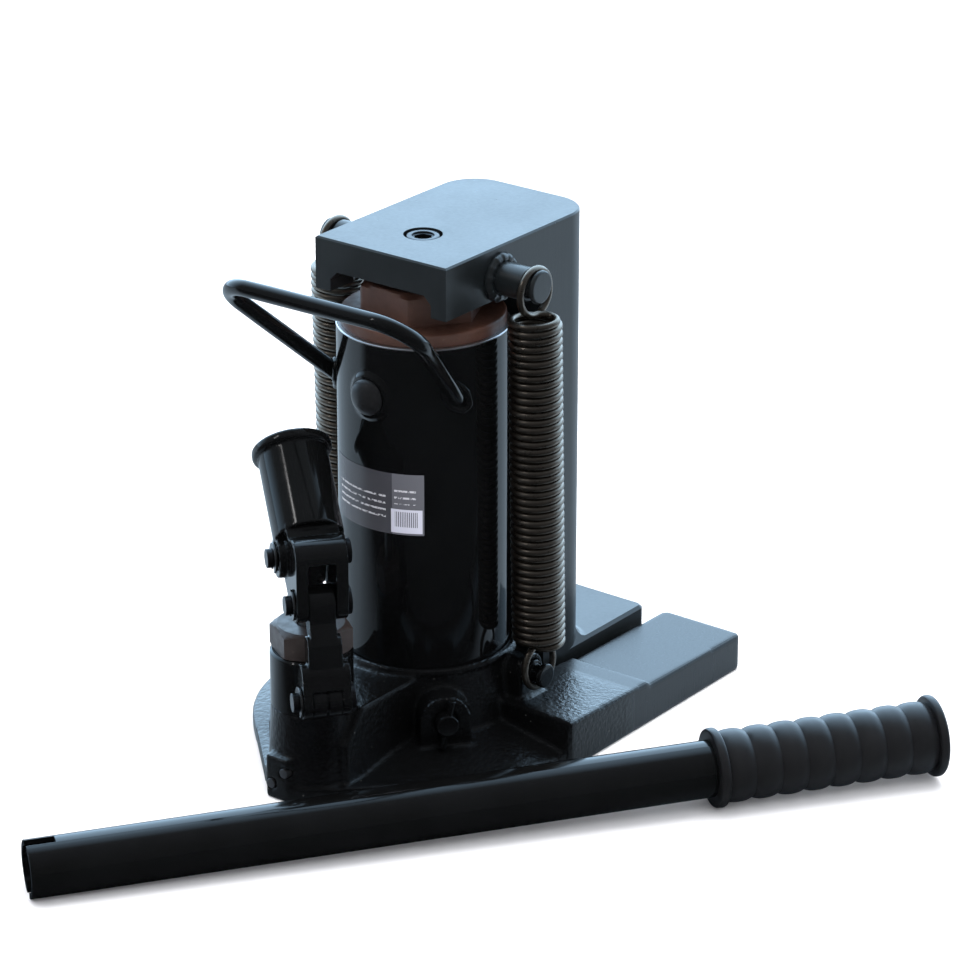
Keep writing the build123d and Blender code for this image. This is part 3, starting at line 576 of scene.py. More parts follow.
@dataclass(frozen=True)
class Satin:
    """Satin blue-black paint with fine streaks, nicks and rubbed spots."""

    name: str
    dark: Triple = (0.0035, 0.0048, 0.0055)
    light: Triple = (0.008, 0.0108, 0.0125)
    rubbed: Triple = (0.035, 0.042, 0.050)
    rough: float = 0.32

    def material(self) -> bpy.types.Material:
        """Clouded colour, upright brush streaks, and sparse nicks that cut into the surface."""
        r = Recipe(self.name, IOR=1.7)
        streak = r.noise(2.2, 3, 0.6, r.mapped((1, 1, 0.06)))
        cloud = r.noise(26, 4, 0.6)
        colour = r.blend(r.blend(0.4, cloud, streak), self.dark, self.light)
        chips = r.steps(r.cells(7.5), (0.035, 1.0), (0.06, 0.0))
        some = r.steps(r.noise(19, 2), (0.52, 0.0), (0.6, 1.0))
        nick = r.blend(1.0, chips, some, "MULTIPLY")
        scuff = r.steps(r.noise(5, 6, 0.72), (0.66, 0.0), (0.78, 0.5))
        colour = r.blend(r.blend(1.0, nick, scuff, "ADD"), colour, self.rubbed)
        rough = r.steps(r.blend(0.5, cloud, streak), (0.3, self.rough * 0.85), (0.7, self.rough * 1.2))
        normal = r.relief(streak, 0.03, r.relief(r.noise(1.3, 3), 0.018))
        normal = r.relief(r.sum("MULTIPLY", nick, -1.0), 0.25, normal)
        return r.finish(Base_Color=colour, Roughness=rough, Normal=normal)


@dataclass(frozen=True)
class Primer:
    """Thin brown primer over machined steel."""

    name: str
    dark: Triple = (0.036, 0.016, 0.011)
    light: Triple = (0.078, 0.036, 0.025)
    rough: float = 0.42

    def material(self) -> bpy.types.Material:
        """Mottled brown with faint turning marks."""
        r = Recipe(self.name, IOR=1.5)
        colour = r.blend(r.noise(8, 5, 0.65), self.dark, self.light)
        worn = r.steps(r.noise(2.6, 5, 0.7), (0.62, 0.0), (0.8, 0.55))
        colour = r.blend(worn, colour, (0.11, 0.085, 0.075))
        rough = r.steps(r.noise(5, 3), (0.3, self.rough * 0.8), (0.7, self.rough * 1.3))
        return r.finish(Base_Color=colour, Roughness=rough, Normal=r.relief(r.noise(0.9, 3), 0.03))


@dataclass(frozen=True)
class Metal:
    """Bare metal: turned, drawn or stamped."""

    name: str
    dark: Triple = (0.30, 0.30, 0.31)
    light: Triple = (0.50, 0.50, 0.51)
    rough: float = 0.30
    grain: float = 0.02
    stretch: Triple = (1.0, 1.0, 6.0)

    def material(self) -> bpy.types.Material:
        """Fine lines across the stretched noise, with a patchy oil film."""
        r = Recipe(self.name, Metallic=1.0)
        line = r.noise(1.5, 4, 0.6, r.mapped(self.stretch))
        film = r.noise(7, 4, 0.6)
        colour = r.blend(r.blend(0.55, film, line), self.dark, self.light)
        rough = r.steps(r.blend(0.5, film, line), (0.3, self.rough * 0.75), (0.72, self.rough * 1.35))
        return r.finish(Base_Color=colour, Roughness=rough, Normal=r.relief(line, self.grain))


@dataclass(frozen=True)
class Rubber:
    """Moulded black rubber or soft plastic."""

    name: str
    dark: Triple = (0.004, 0.0042, 0.005)
    light: Triple = (0.009, 0.0095, 0.011)
    rough: float = 0.36

    def material(self) -> bpy.types.Material:
        """Even black with a fine moulded grain and a dusty bloom."""
        r = Recipe(self.name, IOR=1.5)
        bloom = r.noise(15, 5, 0.62)
        colour = r.blend(bloom, self.dark, self.light)
        rough = r.steps(bloom, (0.3, self.rough * 0.85), (0.7, self.rough * 1.2))
        return r.finish(Base_Color=colour, Roughness=rough, Normal=r.relief(r.noise(0.7, 2), 0.015))


@dataclass(frozen=True)
class Film:
    """Printed film of the rating plate, with rows of plain marks and a paler field."""

    name: str
    ground: Triple = (0.050, 0.051, 0.060)
    band: Triple = (0.105, 0.108, 0.125)
    ink: Triple = (0.50, 0.50, 0.54)
    pale: Triple = (0.52, 0.53, 0.62)

    def _within(self, r: Recipe, value: Socket, low: float, high: float) -> Socket:
        """1 where a value lies between two bounds."""
        return r.sum("MULTIPLY", r.sum("GREATER_THAN", value, low), r.sum("LESS_THAN", value, high))

    def material(self) -> bpy.types.Material:
        """Fields and marks drawn on the film's own UV map."""
        r = Recipe(self.name, IOR=1.5)
        uv = r._node("ShaderNodeUVMap", uv_map="plate").outputs[0]
        u, v = r.part(0, uv), r.part(1, uv)
        colour = r.blend(self._within(r, u, 0.72, 1.1), self.ground, self.band)
        row = r.sum("FRACT", r.sum("MULTIPLY", v, 9.0))
        line = self._within(r, row, 0.34, 0.62)
        field = r.sum("MULTIPLY", self._within(r, u, 0.08, 0.66), self._within(r, v, 0.2, 0.68))
        second = r.sum("MULTIPLY", self._within(r, u, 0.74, 0.93), self._within(r, v, 0.5, 0.76))
        word = r.sum("GREATER_THAN", r.noise(1.6, 2, 0.7), 0.46)
        marks = r.sum("MULTIPLY", r.sum("MULTIPLY", line, word), r.sum("MAXIMUM", field, second))
        colour = r.blend(marks, colour, self.ink)
        patch = r.sum("MULTIPLY", self._within(r, u, 0.71, 0.985), self._within(r, v, 0.03, 0.42))
        colour = r.blend(patch, colour, self.pale)
        bar = self._within(r, r.sum("FRACT", r.sum("MULTIPLY", u, 62.0)), 0.0, 0.42)
        bars = r.sum("MULTIPLY", bar, self._within(r, v, 0.13, 0.38))
        bars = r.sum("MULTIPLY", bars, self._within(r, u, 0.745, 0.95))
        colour = r.blend(bars, colour, (0.05, 0.05, 0.055))
        rough = r.steps(r.noise(6, 3), (0.3, 0.16), (0.7, 0.26))
        return r.finish(Base_Color=colour, Roughness=rough, Normal=r.relief(r.noise(2.5, 2), 0.01))


@dataclass(frozen=True)
class Finishes:
    """Every material of the jack, made once."""

    enamel: bpy.types.Material
    tank: bpy.types.Material
    cast: bpy.types.Material
    satin: bpy.types.Material
    primer: bpy.types.Material
    gland: bpy.types.Material
    steel: bpy.types.Material
    pin: bpy.types.Material
    screw: bpy.types.Material
    plug: bpy.types.Material
    clip: bpy.types.Material
    spring: bpy.types.Material
    rubber: bpy.types.Material
    gasket: bpy.types.Material
    film: bpy.types.Material

    @classmethod
    def mixed(cls) -> "Finishes":
        """All finishes with the values of this jack."""
        return cls(
            enamel=Enamel("gloss_enamel").material(),
            tank=Enamel("tank_enamel", gloss=0.07, peel=0.02, peel_size=6.5, rim_highlight_above=207.25).material(),
            cast=Enamel("cast_enamel", grain=0.30, specks=0.8, sawn_behind=46.0).material(),
            satin=Satin("satin_paint_worn").material(),
            primer=Primer("nut_primer").material(),
            gland=Primer("gland_primer", (0.020, 0.015, 0.014), (0.042, 0.032, 0.030), 0.38).material(),
            steel=Metal("oiled_steel").material(),
            pin=Metal("oiled_dark_steel", (0.035, 0.035, 0.037), (0.10, 0.10, 0.105), 0.30).material(),
            screw=Metal("blackened_steel", (0.045, 0.048, 0.052), (0.10, 0.105, 0.115), 0.34).material(),
            plug=Metal("dull_plug_steel", (0.13, 0.13, 0.135), (0.26, 0.26, 0.27), 0.42).material(),
            clip=Metal("stamped_clip_steel", (0.10, 0.10, 0.10), (0.24, 0.24, 0.24), 0.28).material(),
            spring=Metal("drawn_spring_wire", (0.15, 0.128, 0.108), (0.34, 0.295, 0.25), 0.30).material(),
            rubber=Rubber("moulded_rubber").material(),
            gasket=Metal("soft_copper", (0.50, 0.25, 0.15), (0.70, 0.38, 0.26), 0.35).material(),
            film=Film("printed_film").material(),
        )


# ---- sub-assemblies --------------------------------------------------------------------------------
@dataclass
class BaseCasting:
    """Base casting with its passage plugs and spring studs."""

    finishes: Finishes
    pitch: float = 1.15
    plug_r: float = 2.4
    plug_proud: float = 0.3
    plug_sites: tuple = ((-6.2, 7.8), (1.6, 15.0))
    stud_r: float = 6.0
    groove_r: float = 4.2
    spring_x: float = 58.6

    def build(self) -> None:
        """Casting, plugs and studs."""
        casting = worked_copy("base_casting", "base_cast", Worked.CAST, self.pitch, 5)
        fit(casting, Body.BASE, ["base_casting"], self.finishes.cast, 180)
        self._plugs()
        self._studs()

    def _plugs(self) -> None:
        """Round plugs with a softly domed face, set in the front of the valve block."""
        front = box_mm("passage_plugs")[0][1]
        outline = rounded([(0, 6), (self.plug_r - 0.3, 6, 0.2), (self.plug_r, 5.6, 0.1),
                           (self.plug_r, 0, 0.4), (0, -0.05)])
        skins = [lathe(outline, Place((x, front, z), (0, 1, 0)), 32) for x, z in self.plug_sites]
        piece("passage_plug_faces", skins, Body.BASE, "passage_plugs", self.finishes.plug)

    def _studs(self) -> None:
        """Grooved studs on both sides, out from the cast lugs."""
        low, high = box_mm("spring_studs")
        y, z, end = (low[1] + high[1]) / 2, (low[2] + high[2]) / 2, high[0]
        g0, g1 = self.spring_x - 2.3, self.spring_x + 2.3
        outline = rounded([(0, 44.5), (self.stud_r, 44.5), (self.stud_r, g0, 0.7), (self.groove_r, g0, 0.7),
                           (self.groove_r, g1, 0.7), (self.stud_r, g1, 0.6),
                           (self.stud_r, end, 1.1), (0, end)])
        skins = [lathe(outline, Place((0, y, z), (side, 0, 0), (0, 0, 1)), 40) for side in (1, -1)]
        piece("spring_stud_pair", skins, Body.BASE, "spring_studs", self.finishes.enamel)


@dataclass
class OilTank:
    """Oil tank with filler plug, plate, gasket and the nut that closes it."""

    finishes: Finishes
    radius: float = 41.1
    wall: float = 3.0
    plug_z: float = 182.0
    plug_r: float = 8.8
    seat_r: float = 11.0
    seat_h: float = 1.5
    nut_af: float = 53.0
    nut_heading: float = -125.0
    flange_r: float = 39.0
    flange_t: float = 6.0
    ram_r: float = 16.0
    plate_t: float = 0.2
    plate_half: float = 38.0

    def build(self) -> None:
        """Tank shell, plug, plate, gaskets and nut."""
        self._shell()
        self._plug()
        self._plate()
        self._nut()
        self._hidden_rings()

    def _seat(self, radius: Array, angle: Array, height: Array) -> Array:
        """Outer radius with the plug's raised seat and a slow waviness of the drawn tube.

        The seat rises by an eased step of the distance from the plug's axis, measured along the
        surface, and the wave is a product of sines a few hundredths of a millimetre high.
        """
        arc = ((angle + pi / 2 + pi) % (2 * pi) - pi) * self.radius
        away = np.hypot(arc, height - self.plug_z)
        bump = self.seat_h * (1 - ease(away, self.seat_r - 1.2, self.seat_r + 1.6))
        wave = 0.035 * np.sin(3 * angle + 0.8) * np.sin(height / 19.0)
        wave = wave + 0.02 * np.sin(7 * angle + height / 31)
        outside = radius > self.radius - 0.9
        return np.where(outside, radius + bump + wave * ease(height, 48, 60), radius)

    def _shell(self) -> None:
        """Tube wall with rounded rims, one closed ring."""
        low, high = box_mm("tank")
        inner = self.radius - self.wall
        outline = rounded([(inner, low[2]), (self.radius, low[2], 0.5), (self.radius, high[2], 0.7),
                           (inner, high[2], 0.7)], closed=True)
        z = np.linspace(low[2] + 0.8, high[2] - 0.8, 168)
        side = np.stack([np.full_like(z, self.radius), z], axis=1)
        split = int(np.argmax(outline[:, 1] > (low[2] + high[2]) / 2))
        outline = np.vstack([outline[:split], side, outline[split:]])
        skin = lathe(outline, Place(), 288, True, self._seat)
        piece("tank_shell", [skin], Body.BASE, "tank", self.finishes.tank)

    def _plug(self) -> None:
        """Domed rubber plug: the dome's height falls with the square of its radius."""
        r = np.linspace(0, 1, 14)
        front = -(self.radius + 1.7)
        dome = np.stack([self.plug_r * np.sin(r * pi / 2), 4.5 * np.cos(r * pi / 2) ** 1.15], axis=1)
        skirt = rounded([(self.plug_r, 0.0), (self.plug_r - 0.1, -0.5, 0.3), (4.5, -0.6), (4.5, -5.6, 0.3),
                         (5.3, -6.0, 0.3), (3.7, -7.8, 0.3), (0, -7.8)])
        skin = lathe(np.vstack([dome, skirt]), Place((0, front, self.plug_z), (0, -1, 0)), 64)
        piece("filler_plug_dome", [skin], Body.BASE, "filler_plug", self.finishes.rubber)

    def _plate(self) -> None:
        """Film wrapped on the tank: u runs round it and v up it, the two faces 0.2 mm apart."""
        low, high = box_mm("rating_plate")
        u = np.linspace(-1, 1, 49) * radians(self.plate_half) - pi / 2
        v = np.linspace(low[2], high[2], 9)
        uu, vv = np.meshgrid(u, v)
        layers = []
        for radius in (self.radius + self.plate_t, self.radius + 0.06):
            layers.append(np.stack([radius * np.cos(uu), radius * np.sin(uu), vv], axis=-1))
        rows = np.concatenate([layers[0], layers[1][::-1]], axis=0)
        halfway = (rows + rows[::-1]) * 0.5
        rows = np.concatenate([halfway[:, :1], rows, halfway[:, -1:]], axis=1)
        obj = write_mesh("rating_plate_film", [Skin(rows, wrap_rows=True, wrap_cols=False)])
        self._plate_map(obj.data, u[0], u[-1], low[2], high[2])
        fit(obj, Body.BASE, ["rating_plate"], self.finishes.film)

    def _plate_map(self, mesh: bpy.types.Mesh, u0: float, u1: float, z0: float, z1: float) -> None:
        """UV map of the film: the share of its angle and of its height."""
        layer = mesh.uv_layers.new(name="plate")
        ids = np.empty(len(mesh.loops), np.int32)
        mesh.loops.foreach_get("vertex_index", ids)
        co = np.empty(len(mesh.vertices) * 3)
        mesh.vertices.foreach_get("co", co)
        co = co.reshape(-1, 3)[ids] / MM
        u = (np.arctan2(co[:, 1], co[:, 0]) - u0) / (u1 - u0)
        v = (co[:, 2] - z0) / (z1 - z0)
        layer.data.foreach_set("uv", np.stack([u, v], axis=1).ravel())

    def _nut(self) -> None:
        """Hexagon with turned corners on a round flange, bored for the ram."""
        low, high = box_mm("top_nut")
        base, top, bore = low[2] + 8.0, high[2], self.ram_r + 0.3
        flange = rounded([(bore, base), (self.flange_r, base, 0.3),
                          (self.flange_r, base + self.flange_t, 1.6),
                          (bore, base + self.flange_t + 0.5)], closed=True)
        spigot_r = self.radius - self.wall - 0.1
        spigot = rounded([(23.2, low[2]), (spigot_r, low[2], 0.4), (spigot_r, base + 0.5),
                          (23.2, base + 0.5)], closed=True)
        body = rounded([(bore, base + 1), (31, base + 1), (31, top - 7, 0.2), (26.2, top, 0.5),
                        (20.0, top, 0.3), (20.0, top - 5), (bore, top - 5)], closed=True)
        z = np.linspace(base + 2, top - 0.6, 14)
        body = np.vstack([body[:2], np.stack([np.full_like(z, 31.0), z], axis=1), body[8:]])

        def crown(height: Array) -> Array:
            """Cone that turns the corners: two millimetres of radius for each of height."""
            return np.maximum(26.0 + (top - height) * 2.0, 26.0)

        hexa = lathe(body, Place(), 192, True, hexagonal(self.nut_af, self.nut_heading, crown))
        skins = [lathe(flange, Place(), 144, True), lathe(spigot, Place(), 96, True), hexa]
        piece("closing_nut", skins, Body.BASE, "top_nut", self.finishes.primer, 25)

    def _hidden_rings(self) -> None:
        """Rings that seal the tank and the ram, each a rounded ring on the ram's axis."""
        inside = self.radius - self.wall
        rings = {
            "tank_gasket_lower": (self.radius, inside, Slot.RUBBER, self.finishes.rubber),
            "tank_seal_upper": (inside, inside - 3, Slot.RUBBER, self.finishes.rubber),
            "cylinder_gasket": (23.0, 18.0, Slot.GASKET, self.finishes.gasket),
            "ram_wiper": (20.0, self.ram_r + 0.05, Slot.RUBBER, self.finishes.rubber),
            "ram_cylinder": (23.0, 18.0, Slot.STEEL, self.finishes.steel),
        }
        for node, (outer, inner, slot, material) in rings.items():
            low, high = box_mm(node)
            outline = band(inner, outer, low[2], high[2], 0.2, 0.2)
            piece(node + "_ring", [lathe(outline, Place(), 96, True)], Body.BASE, node, material)


@dataclass
class CarryHandle:
    """Bent round rod with its weld beads."""

    finishes: Finishes
    rod_r: float = 4.0
    bend: float = 17.0
    right: tuple[Triple, Triple] = ((33.9, -16.9, 180.4), (58.0, -82.0, 239.5))
    left: tuple[Triple, Triple] = ((-35.0, -16.4, 175.3), (-58.0, -84.0, 239.0))
    tank_r: float = 41.1
    bead: float = 1.9

    def build(self) -> None:
        """Rod and both beads."""
        right, left = np.array(self.right), np.array(self.left)
        first = self._half(right[0], right[1], left[1])
        last = self._half(left[0], left[1], right[1])[::-1]
        t = np.linspace(0, 1, 25)[1:-1, None]
        path = np.vstack([first, first[-1] * (1 - t) + last[0] * t, last])
        bar = left[1] - right[1]
        share = ease(np.arange(len(path)), len(first), len(path) - len(last))[:, None]
        planes = [np.cross(corner - root, bar) for root, corner in (right, left)]
        normals = planes[0] * (1 - share) + planes[1] * share
        skin = sweep(path, normals, self._section(path), 28)
        piece("carry_handle_rod", [skin], Body.BASE, "carry_handle", self.finishes.enamel)
        beads = [self._bead(*right, 1.0), self._bead(*left, 4.0)]
        piece("carry_handle_beads", beads,
              Body.BASE, "carry_handle_welds", self.finishes.enamel)

    def _half(self, root: Array, corner: Array, other: Array) -> Array:
        """Straight leg from the root and the bend towards the other corner, a true arc."""
        leg, bar = unit(root - corner), unit(other - corner)
        opening = np.arccos(np.dot(leg, bar))
        cut = self.bend / np.tan(opening / 2)
        centre = corner + unit(leg + bar) * self.bend / np.sin(opening / 2)
        start, end = corner + leg * cut - centre, corner + bar * cut - centre
        turn = np.arccos(np.dot(unit(start), unit(end)))
        t = np.linspace(0, 1, 25)[:, None]
        arc = centre + (np.sin((1 - t) * turn) * start + np.sin(t * turn) * end) / np.sin(turn)
        straight = root + (arc[0] - root) * np.linspace(0, 1, 20)[:-1, None]
        return np.vstack([straight, arc])

    def _section(self, path: Array) -> Array:
        """Rod radius, drawn down by up to 3 per cent where the rod was bent."""
        turn = np.linalg.norm(np.gradient(np.gradient(path, axis=0), axis=0), axis=1)
        step = np.linalg.norm(np.gradient(path, axis=0), axis=1)
        curve = np.clip(turn / step ** 2 * self.bend, 0, 1)
        return self.rod_r * (1 - 0.03 * np.convolve(curve, np.ones(7) / 7, mode="same"))

    def _bead(self, root: Array, corner: Array, phase: float) -> Skin:
        """Uneven ring where the rod meets the tank: the rod's circle slid along it to the tank's radius."""
        leg = unit(corner - root)
        place = Place(root, leg, (0, 0, 1))
        a = np.linspace(0, 2 * pi, 72, endpoint=False)
        ring = place.world(np.stack([np.cos(a), np.sin(a), 0 * a], axis=1) * (self.rod_r + 0.7))
        qa = leg[0] ** 2 + leg[1] ** 2
        qb = 2 * (ring[:, 0] * leg[0] + ring[:, 1] * leg[1])
        qc = ring[:, 0] ** 2 + ring[:, 1] ** 2 - (self.tank_r + 0.2) ** 2
        slide = (-qb + np.sqrt(np.maximum(qb ** 2 - 4 * qa * qc, 0))) / (2 * qa)
        lumps = self.bead * (1 + 0.08 * np.sin(7 * a + phase) + 0.04 * np.sin(15 * a + 2))
        return sweep(ring + slide[:, None] * leg, leg, lumps, 16, closed=True)


@dataclass
class LiftingClaw:
    """Claw with its screw, the ram that carries it and the spring hangers."""

    finishes: Finishes
    edge: float = 1.0
    screw_r: float = 8.0
    key_af: float = 8.0
    hanger_r: float = 8.0
    groove_r: float = 6.0
    spring_x: float = 58.6
    cheek_x: float = 38.25
    ram_r: float = 16.0

    def build(self) -> None:
        """Claw, screw, ram with piston, hangers and their welds."""
        claw = worked_copy("claw", "claw_body", Worked.BEVELLED, self.edge)
        fit(claw, Body.CLAW, ["claw"], self.finishes.satin)
        self._screw()
        self._ram()
        self._hangers()

    def _screw(self) -> None:
        """Socket screw: one outline from the tip over the head and down into the hexagon."""
        low, high = box_mm("head_screw")
        top, head = high[2], high[2] - 10.0
        outside = rounded([(0, low[2]), (5, low[2], 0.8), (5, head, 0.1), (self.screw_r, head, 0.3),
                           (self.screw_r, top, 1.0), (5.3, top, 0.3), (5.2, top - 0.8)])
        hole = np.array([(5.0, top - 1.0), (5.0, top - 5.0), (0.0, top - 5.8)])
        outline = np.vstack([outside, hole])
        rule = hexagonal(self.key_af, 10)

        def shape(radius: Array, angle: Array, height: Array) -> Array:
            """Hexagon inside the key hole only."""
            inside = (height < top - 0.9) & (height > top - 5.5) & (radius > 4.5) & (radius < 5.05)
            inside &= np.arange(len(outline))[:, None] >= len(outside)
            return np.where(inside, rule(radius, angle, height), radius)

        skin = lathe(outline, Place(), 96, False, shape)
        piece("head_socket_screw", [skin], Body.CLAW, "head_screw", self.finishes.screw)

    def _ram(self) -> None:
        """Ground ram and its piston rings."""
        low, high = box_mm("ram")
        piston_low, piston_high = box_mm("ram_piston")
        outline = rounded([(0, low[2]), (10, low[2], 0.5), (10, piston_high[2], 0.3),
                           (self.ram_r, piston_high[2], 0.6), (self.ram_r, high[2], 0.5), (5, high[2], 0.4),
                           (5, high[2] - 22, 0.3), (0, high[2] - 23)])
        piece("ram_rod", [lathe(outline)], Body.CLAW, "ram", self.finishes.steel)
        for node, slot, material in (("ram_piston", Slot.STEEL, self.finishes.steel),
                                     ("piston_cup_seal", Slot.RUBBER, self.finishes.rubber)):
            a, b = box_mm(node)
            ring = band(10, 17.9, a[2], b[2], 0.2, 0.5)
            piece(node + "_ring", [lathe(ring, Place(), 96, True)], Body.CLAW, node, material)

    def _hangers(self) -> None:
        """Grooved pins with rippled weld rings at their roots."""
        low, high = box_mm("hanger_pins")
        y, z, end = (low[1] + high[1]) / 2, (low[2] + high[2]) / 2, high[0]
        g0, g1 = self.spring_x - 2.5, self.spring_x + 2.5
        outline = rounded([(0, self.cheek_x), (self.hanger_r, self.cheek_x), (self.hanger_r, g0, 0.8),
                           (self.groove_r, g0, 0.9), (self.groove_r, g1, 0.9), (self.hanger_r, g1, 0.5),
                           (self.hanger_r, end, 1.5), (0, end)])
        pins = [lathe(outline, Place((0, y, z), (side, 0, 0), (0, 0, 1)), 56) for side in (1, -1)]
        piece("hanger_pin_pair", pins, Body.CLAW, "hanger_pins", self.finishes.satin)
        a = np.linspace(0, 2 * pi, 96, endpoint=False)
        reach = self.hanger_r + 1.2
        beads = []
        for side in (1, -1):
            ripple = 2.5 * (1 + 0.07 * np.sin(13 * a + side) + 0.03 * np.sin(29 * a))
            x = np.full_like(a, side * (self.cheek_x + 0.8))
            ring = np.stack([x, y + reach * np.cos(a), z + reach * np.sin(a)], axis=1)
            beads.append(sweep(ring, (1, 0, 0), ripple, 18, closed=True))
        piece("hanger_weld_rings", beads, Body.CLAW, "hanger_welds", self.finishes.satin)


@dataclass
class ReturnSprings:
    """Close-coiled return springs with a full loop at each end."""

    finishes: Finishes
    mean_r: float = 11.1
    wire_r: float = 1.72
    coils: int = 46
    spring_x: float = 58.6
    y_low: float = 13.0
    y_high: float = 8.0
    hook_low: float = 42.0
    hook_high: float = 231.8
    sides: int = 14
    per_turn: int = 40

    def build(self) -> None:
        """Both springs, which stretch between the base and the claw."""
        for side, word in ((1.0, "right"), (-1.0, "left")):
            self._one(side, word)

    def _line(self) -> tuple[Array, Array]:
        """Centre line and section normals of a spring that stands on the Z axis.

        The coil is a helix, (R cos a, R sin a, z) with z rising evenly. At each end the radius
        shrinks to nothing over a quarter turn, which brings the wire to the middle, and it goes on
        round a loop in the YZ plane.
        """
        z0, z1 = self.hook_low + self.mean_r, self.hook_high - self.mean_r
        pitch = (z1 - z0) / self.coils
        turns = self.coils - 1.0
        a = np.linspace(0, 2 * pi * turns, int(turns * self.per_turn) + 1)
        rise = z0 + pitch * 0.5 + (z1 - z0 - pitch) * a / a[-1]
        helix = np.stack([self.mean_r * np.cos(a), self.mean_r * np.sin(a), rise], axis=1)
        t = np.linspace(0, 1, 22)[1:]
        shrink = self.mean_r * np.cos(t * pi / 2)
        more = t * pi / 2
        up = np.stack([shrink * np.cos(more), shrink * np.sin(more), rise[-1] + pitch * 0.5 * t], axis=1)
        loop = np.linspace(0, 2 * pi * 0.93, 60)[1:]
        climb = z1 + self.mean_r * (1 - np.cos(loop))
        hook = np.stack([0 * loop, -self.mean_r * np.sin(loop), climb], axis=1)
        end = np.vstack([up, hook])
        turn = np.array([1.0, -1.0, -1.0])
        start = (end - [0, 0, (z0 + z1) / 2]) * turn + [0, 0, (z0 + z1) / 2]
        line = np.vstack([start[::-1], helix, end])
        count = len(end)
        normals = np.tile([0.0, 0.0, 1.0], (len(line), 1))
        weight = np.concatenate([ease(t, 0.35, 1.0), np.ones(len(hook))])
        blend = np.outer(1 - weight, [0.0, 0.0, 1.0]) + np.outer(weight, [1.0, 0.0, 0.0])
        normals[-count:] = blend
        normals[:count] = blend[::-1]
        return line, normals

    def _one(self, side: float, word: str) -> None:
        """One spring: its sections follow the share of the stretch that their centre has."""
        line, normals = self._line()
        skin = sweep(line, normals, self.wire_r, self.sides)
        share = (skin.points.mean(1)[:, 2] - self.hook_low) / (self.hook_high - self.hook_low)
        y = self.y_low + (self.y_high - self.y_low) * np.clip(share, 0, 1)
        points = skin.points.copy()
        points[..., 0] = self.spring_x * side + points[..., 0] * side
        points[..., 1] += y[:, None]
        node = f"return_spring_{word}"
        obj = write_mesh(f"return_coil_{word}", [Skin(points)])
        obj.data.shade_smooth()
        obj.data.materials.append(self.finishes.spring)
        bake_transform(obj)
        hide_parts(node)
        log.info("%s: %d faces between base and claw", obj.name, len(obj.data.polygons))


@dataclass
class HandPump:
    """Pump body, its gland nut, packing and plunger."""

    finishes: Finishes
    gland_af: float = 34.0
    gland_heading: float = -90.0
    thread_r: float = 10.9
    plunger_r: float = 6.0

    def build(self) -> None:
        """Body, nut, packing and plunger."""
        body = worked_copy("pump_body", "pump_barrel", Worked.BEVELLED, 0.5)
        fit(body, Body.BASE, ["pump_body"], self.finishes.enamel)
        self._nut()
        plunger = worked_copy("pump_plunger", "plunger_rod", Worked.BEVELLED, 0.5)
        fit(plunger, Body.PLUNGER, ["pump_plunger"], self.finishes.steel)

    def _nut(self) -> None:
        """Hexagonal gland nut with turned corners, and the packing under it."""
        low, high = box_mm("pump_gland_nut")
        y = (low[1] + high[1]) / 2
        top, foot, bore = high[2], low[2] + 10.0, self.plunger_r + 0.3
        place = Place((0, y, 0))
        z = np.linspace(foot + 0.5, top - 0.5, 16)
        side = np.stack([np.full_like(z, 20.0), z], axis=1)
        lip = rounded([(16.0, top), (15.6, top, 0.2), (bore + 0.8, top, 0.4), (bore, top - 1)])
        body = np.vstack([[(bore, foot), (16.5, foot), (19.0, foot + 0.2)], side,
                          lip[1:]])

        def crown(height: Array) -> Array:
            """Cones that turn the corners at the top and, a little, at the foot."""
            return np.minimum(15.9 + (top - height) * 1.75, 17.6 + (height - foot) * 2.5)

        hexa = lathe(body, place, 144, True, hexagonal(self.gland_af, self.gland_heading, crown))
        thread = rounded([(bore, low[2], 0.2), (self.thread_r, low[2], 0.4), (self.thread_r, foot + 0.5),
                          (bore, foot + 0.5)], closed=True)
        skins = [hexa, lathe(thread, place, 72, True)]
        piece("gland_nut", skins, Body.BASE, "pump_gland_nut", self.finishes.gland, 25)
        a, b = box_mm("pump_packing")
        ring = band(bore, self.thread_r, a[2], b[2], 0.3, 0.3)
        piece("packing_ring", [lathe(ring, place, 72, True)],
              Body.BASE, "pump_packing", self.finishes.rubber)


@dataclass
class PumpLever:
    """Handle socket, link, pins and clips of the pump's lever."""

    finishes: Finishes
    socket_pitch: float = 0.55
    link_pitch: float = 0.5

    def build(self) -> None:
        """Socket, link, three pins and three clips."""
        socket = worked_copy("handle_socket", "lever_socket", Worked.CAST, self.socket_pitch, 5)
        fit(socket, Body.SOCKET, ["handle_socket"], self.finishes.enamel, 180)
        link = worked_copy("pump_link", "lever_link", Worked.CAST, self.link_pitch, 4)
        fit(link, Body.LINK, ["pump_link"], self.finishes.enamel, 180)
        for node, clip, body in (("plunger_pin", "plunger_pin_clip", Body.PLUNGER),
                                 ("link_foot_pin", "link_foot_clip", Body.LINK),
                                 ("socket_pin", "socket_pin_clip", Body.SOCKET)):
            pin = worked_copy(node, node + "_turned", Worked.BEVELLED, 0.35)
            fit(pin, body, [node], self.finishes.pin)
            ring = worked_copy(clip, node + "_ring", Worked.BEVELLED, 0.18)
            fit(ring, body, [clip], self.finishes.clip)


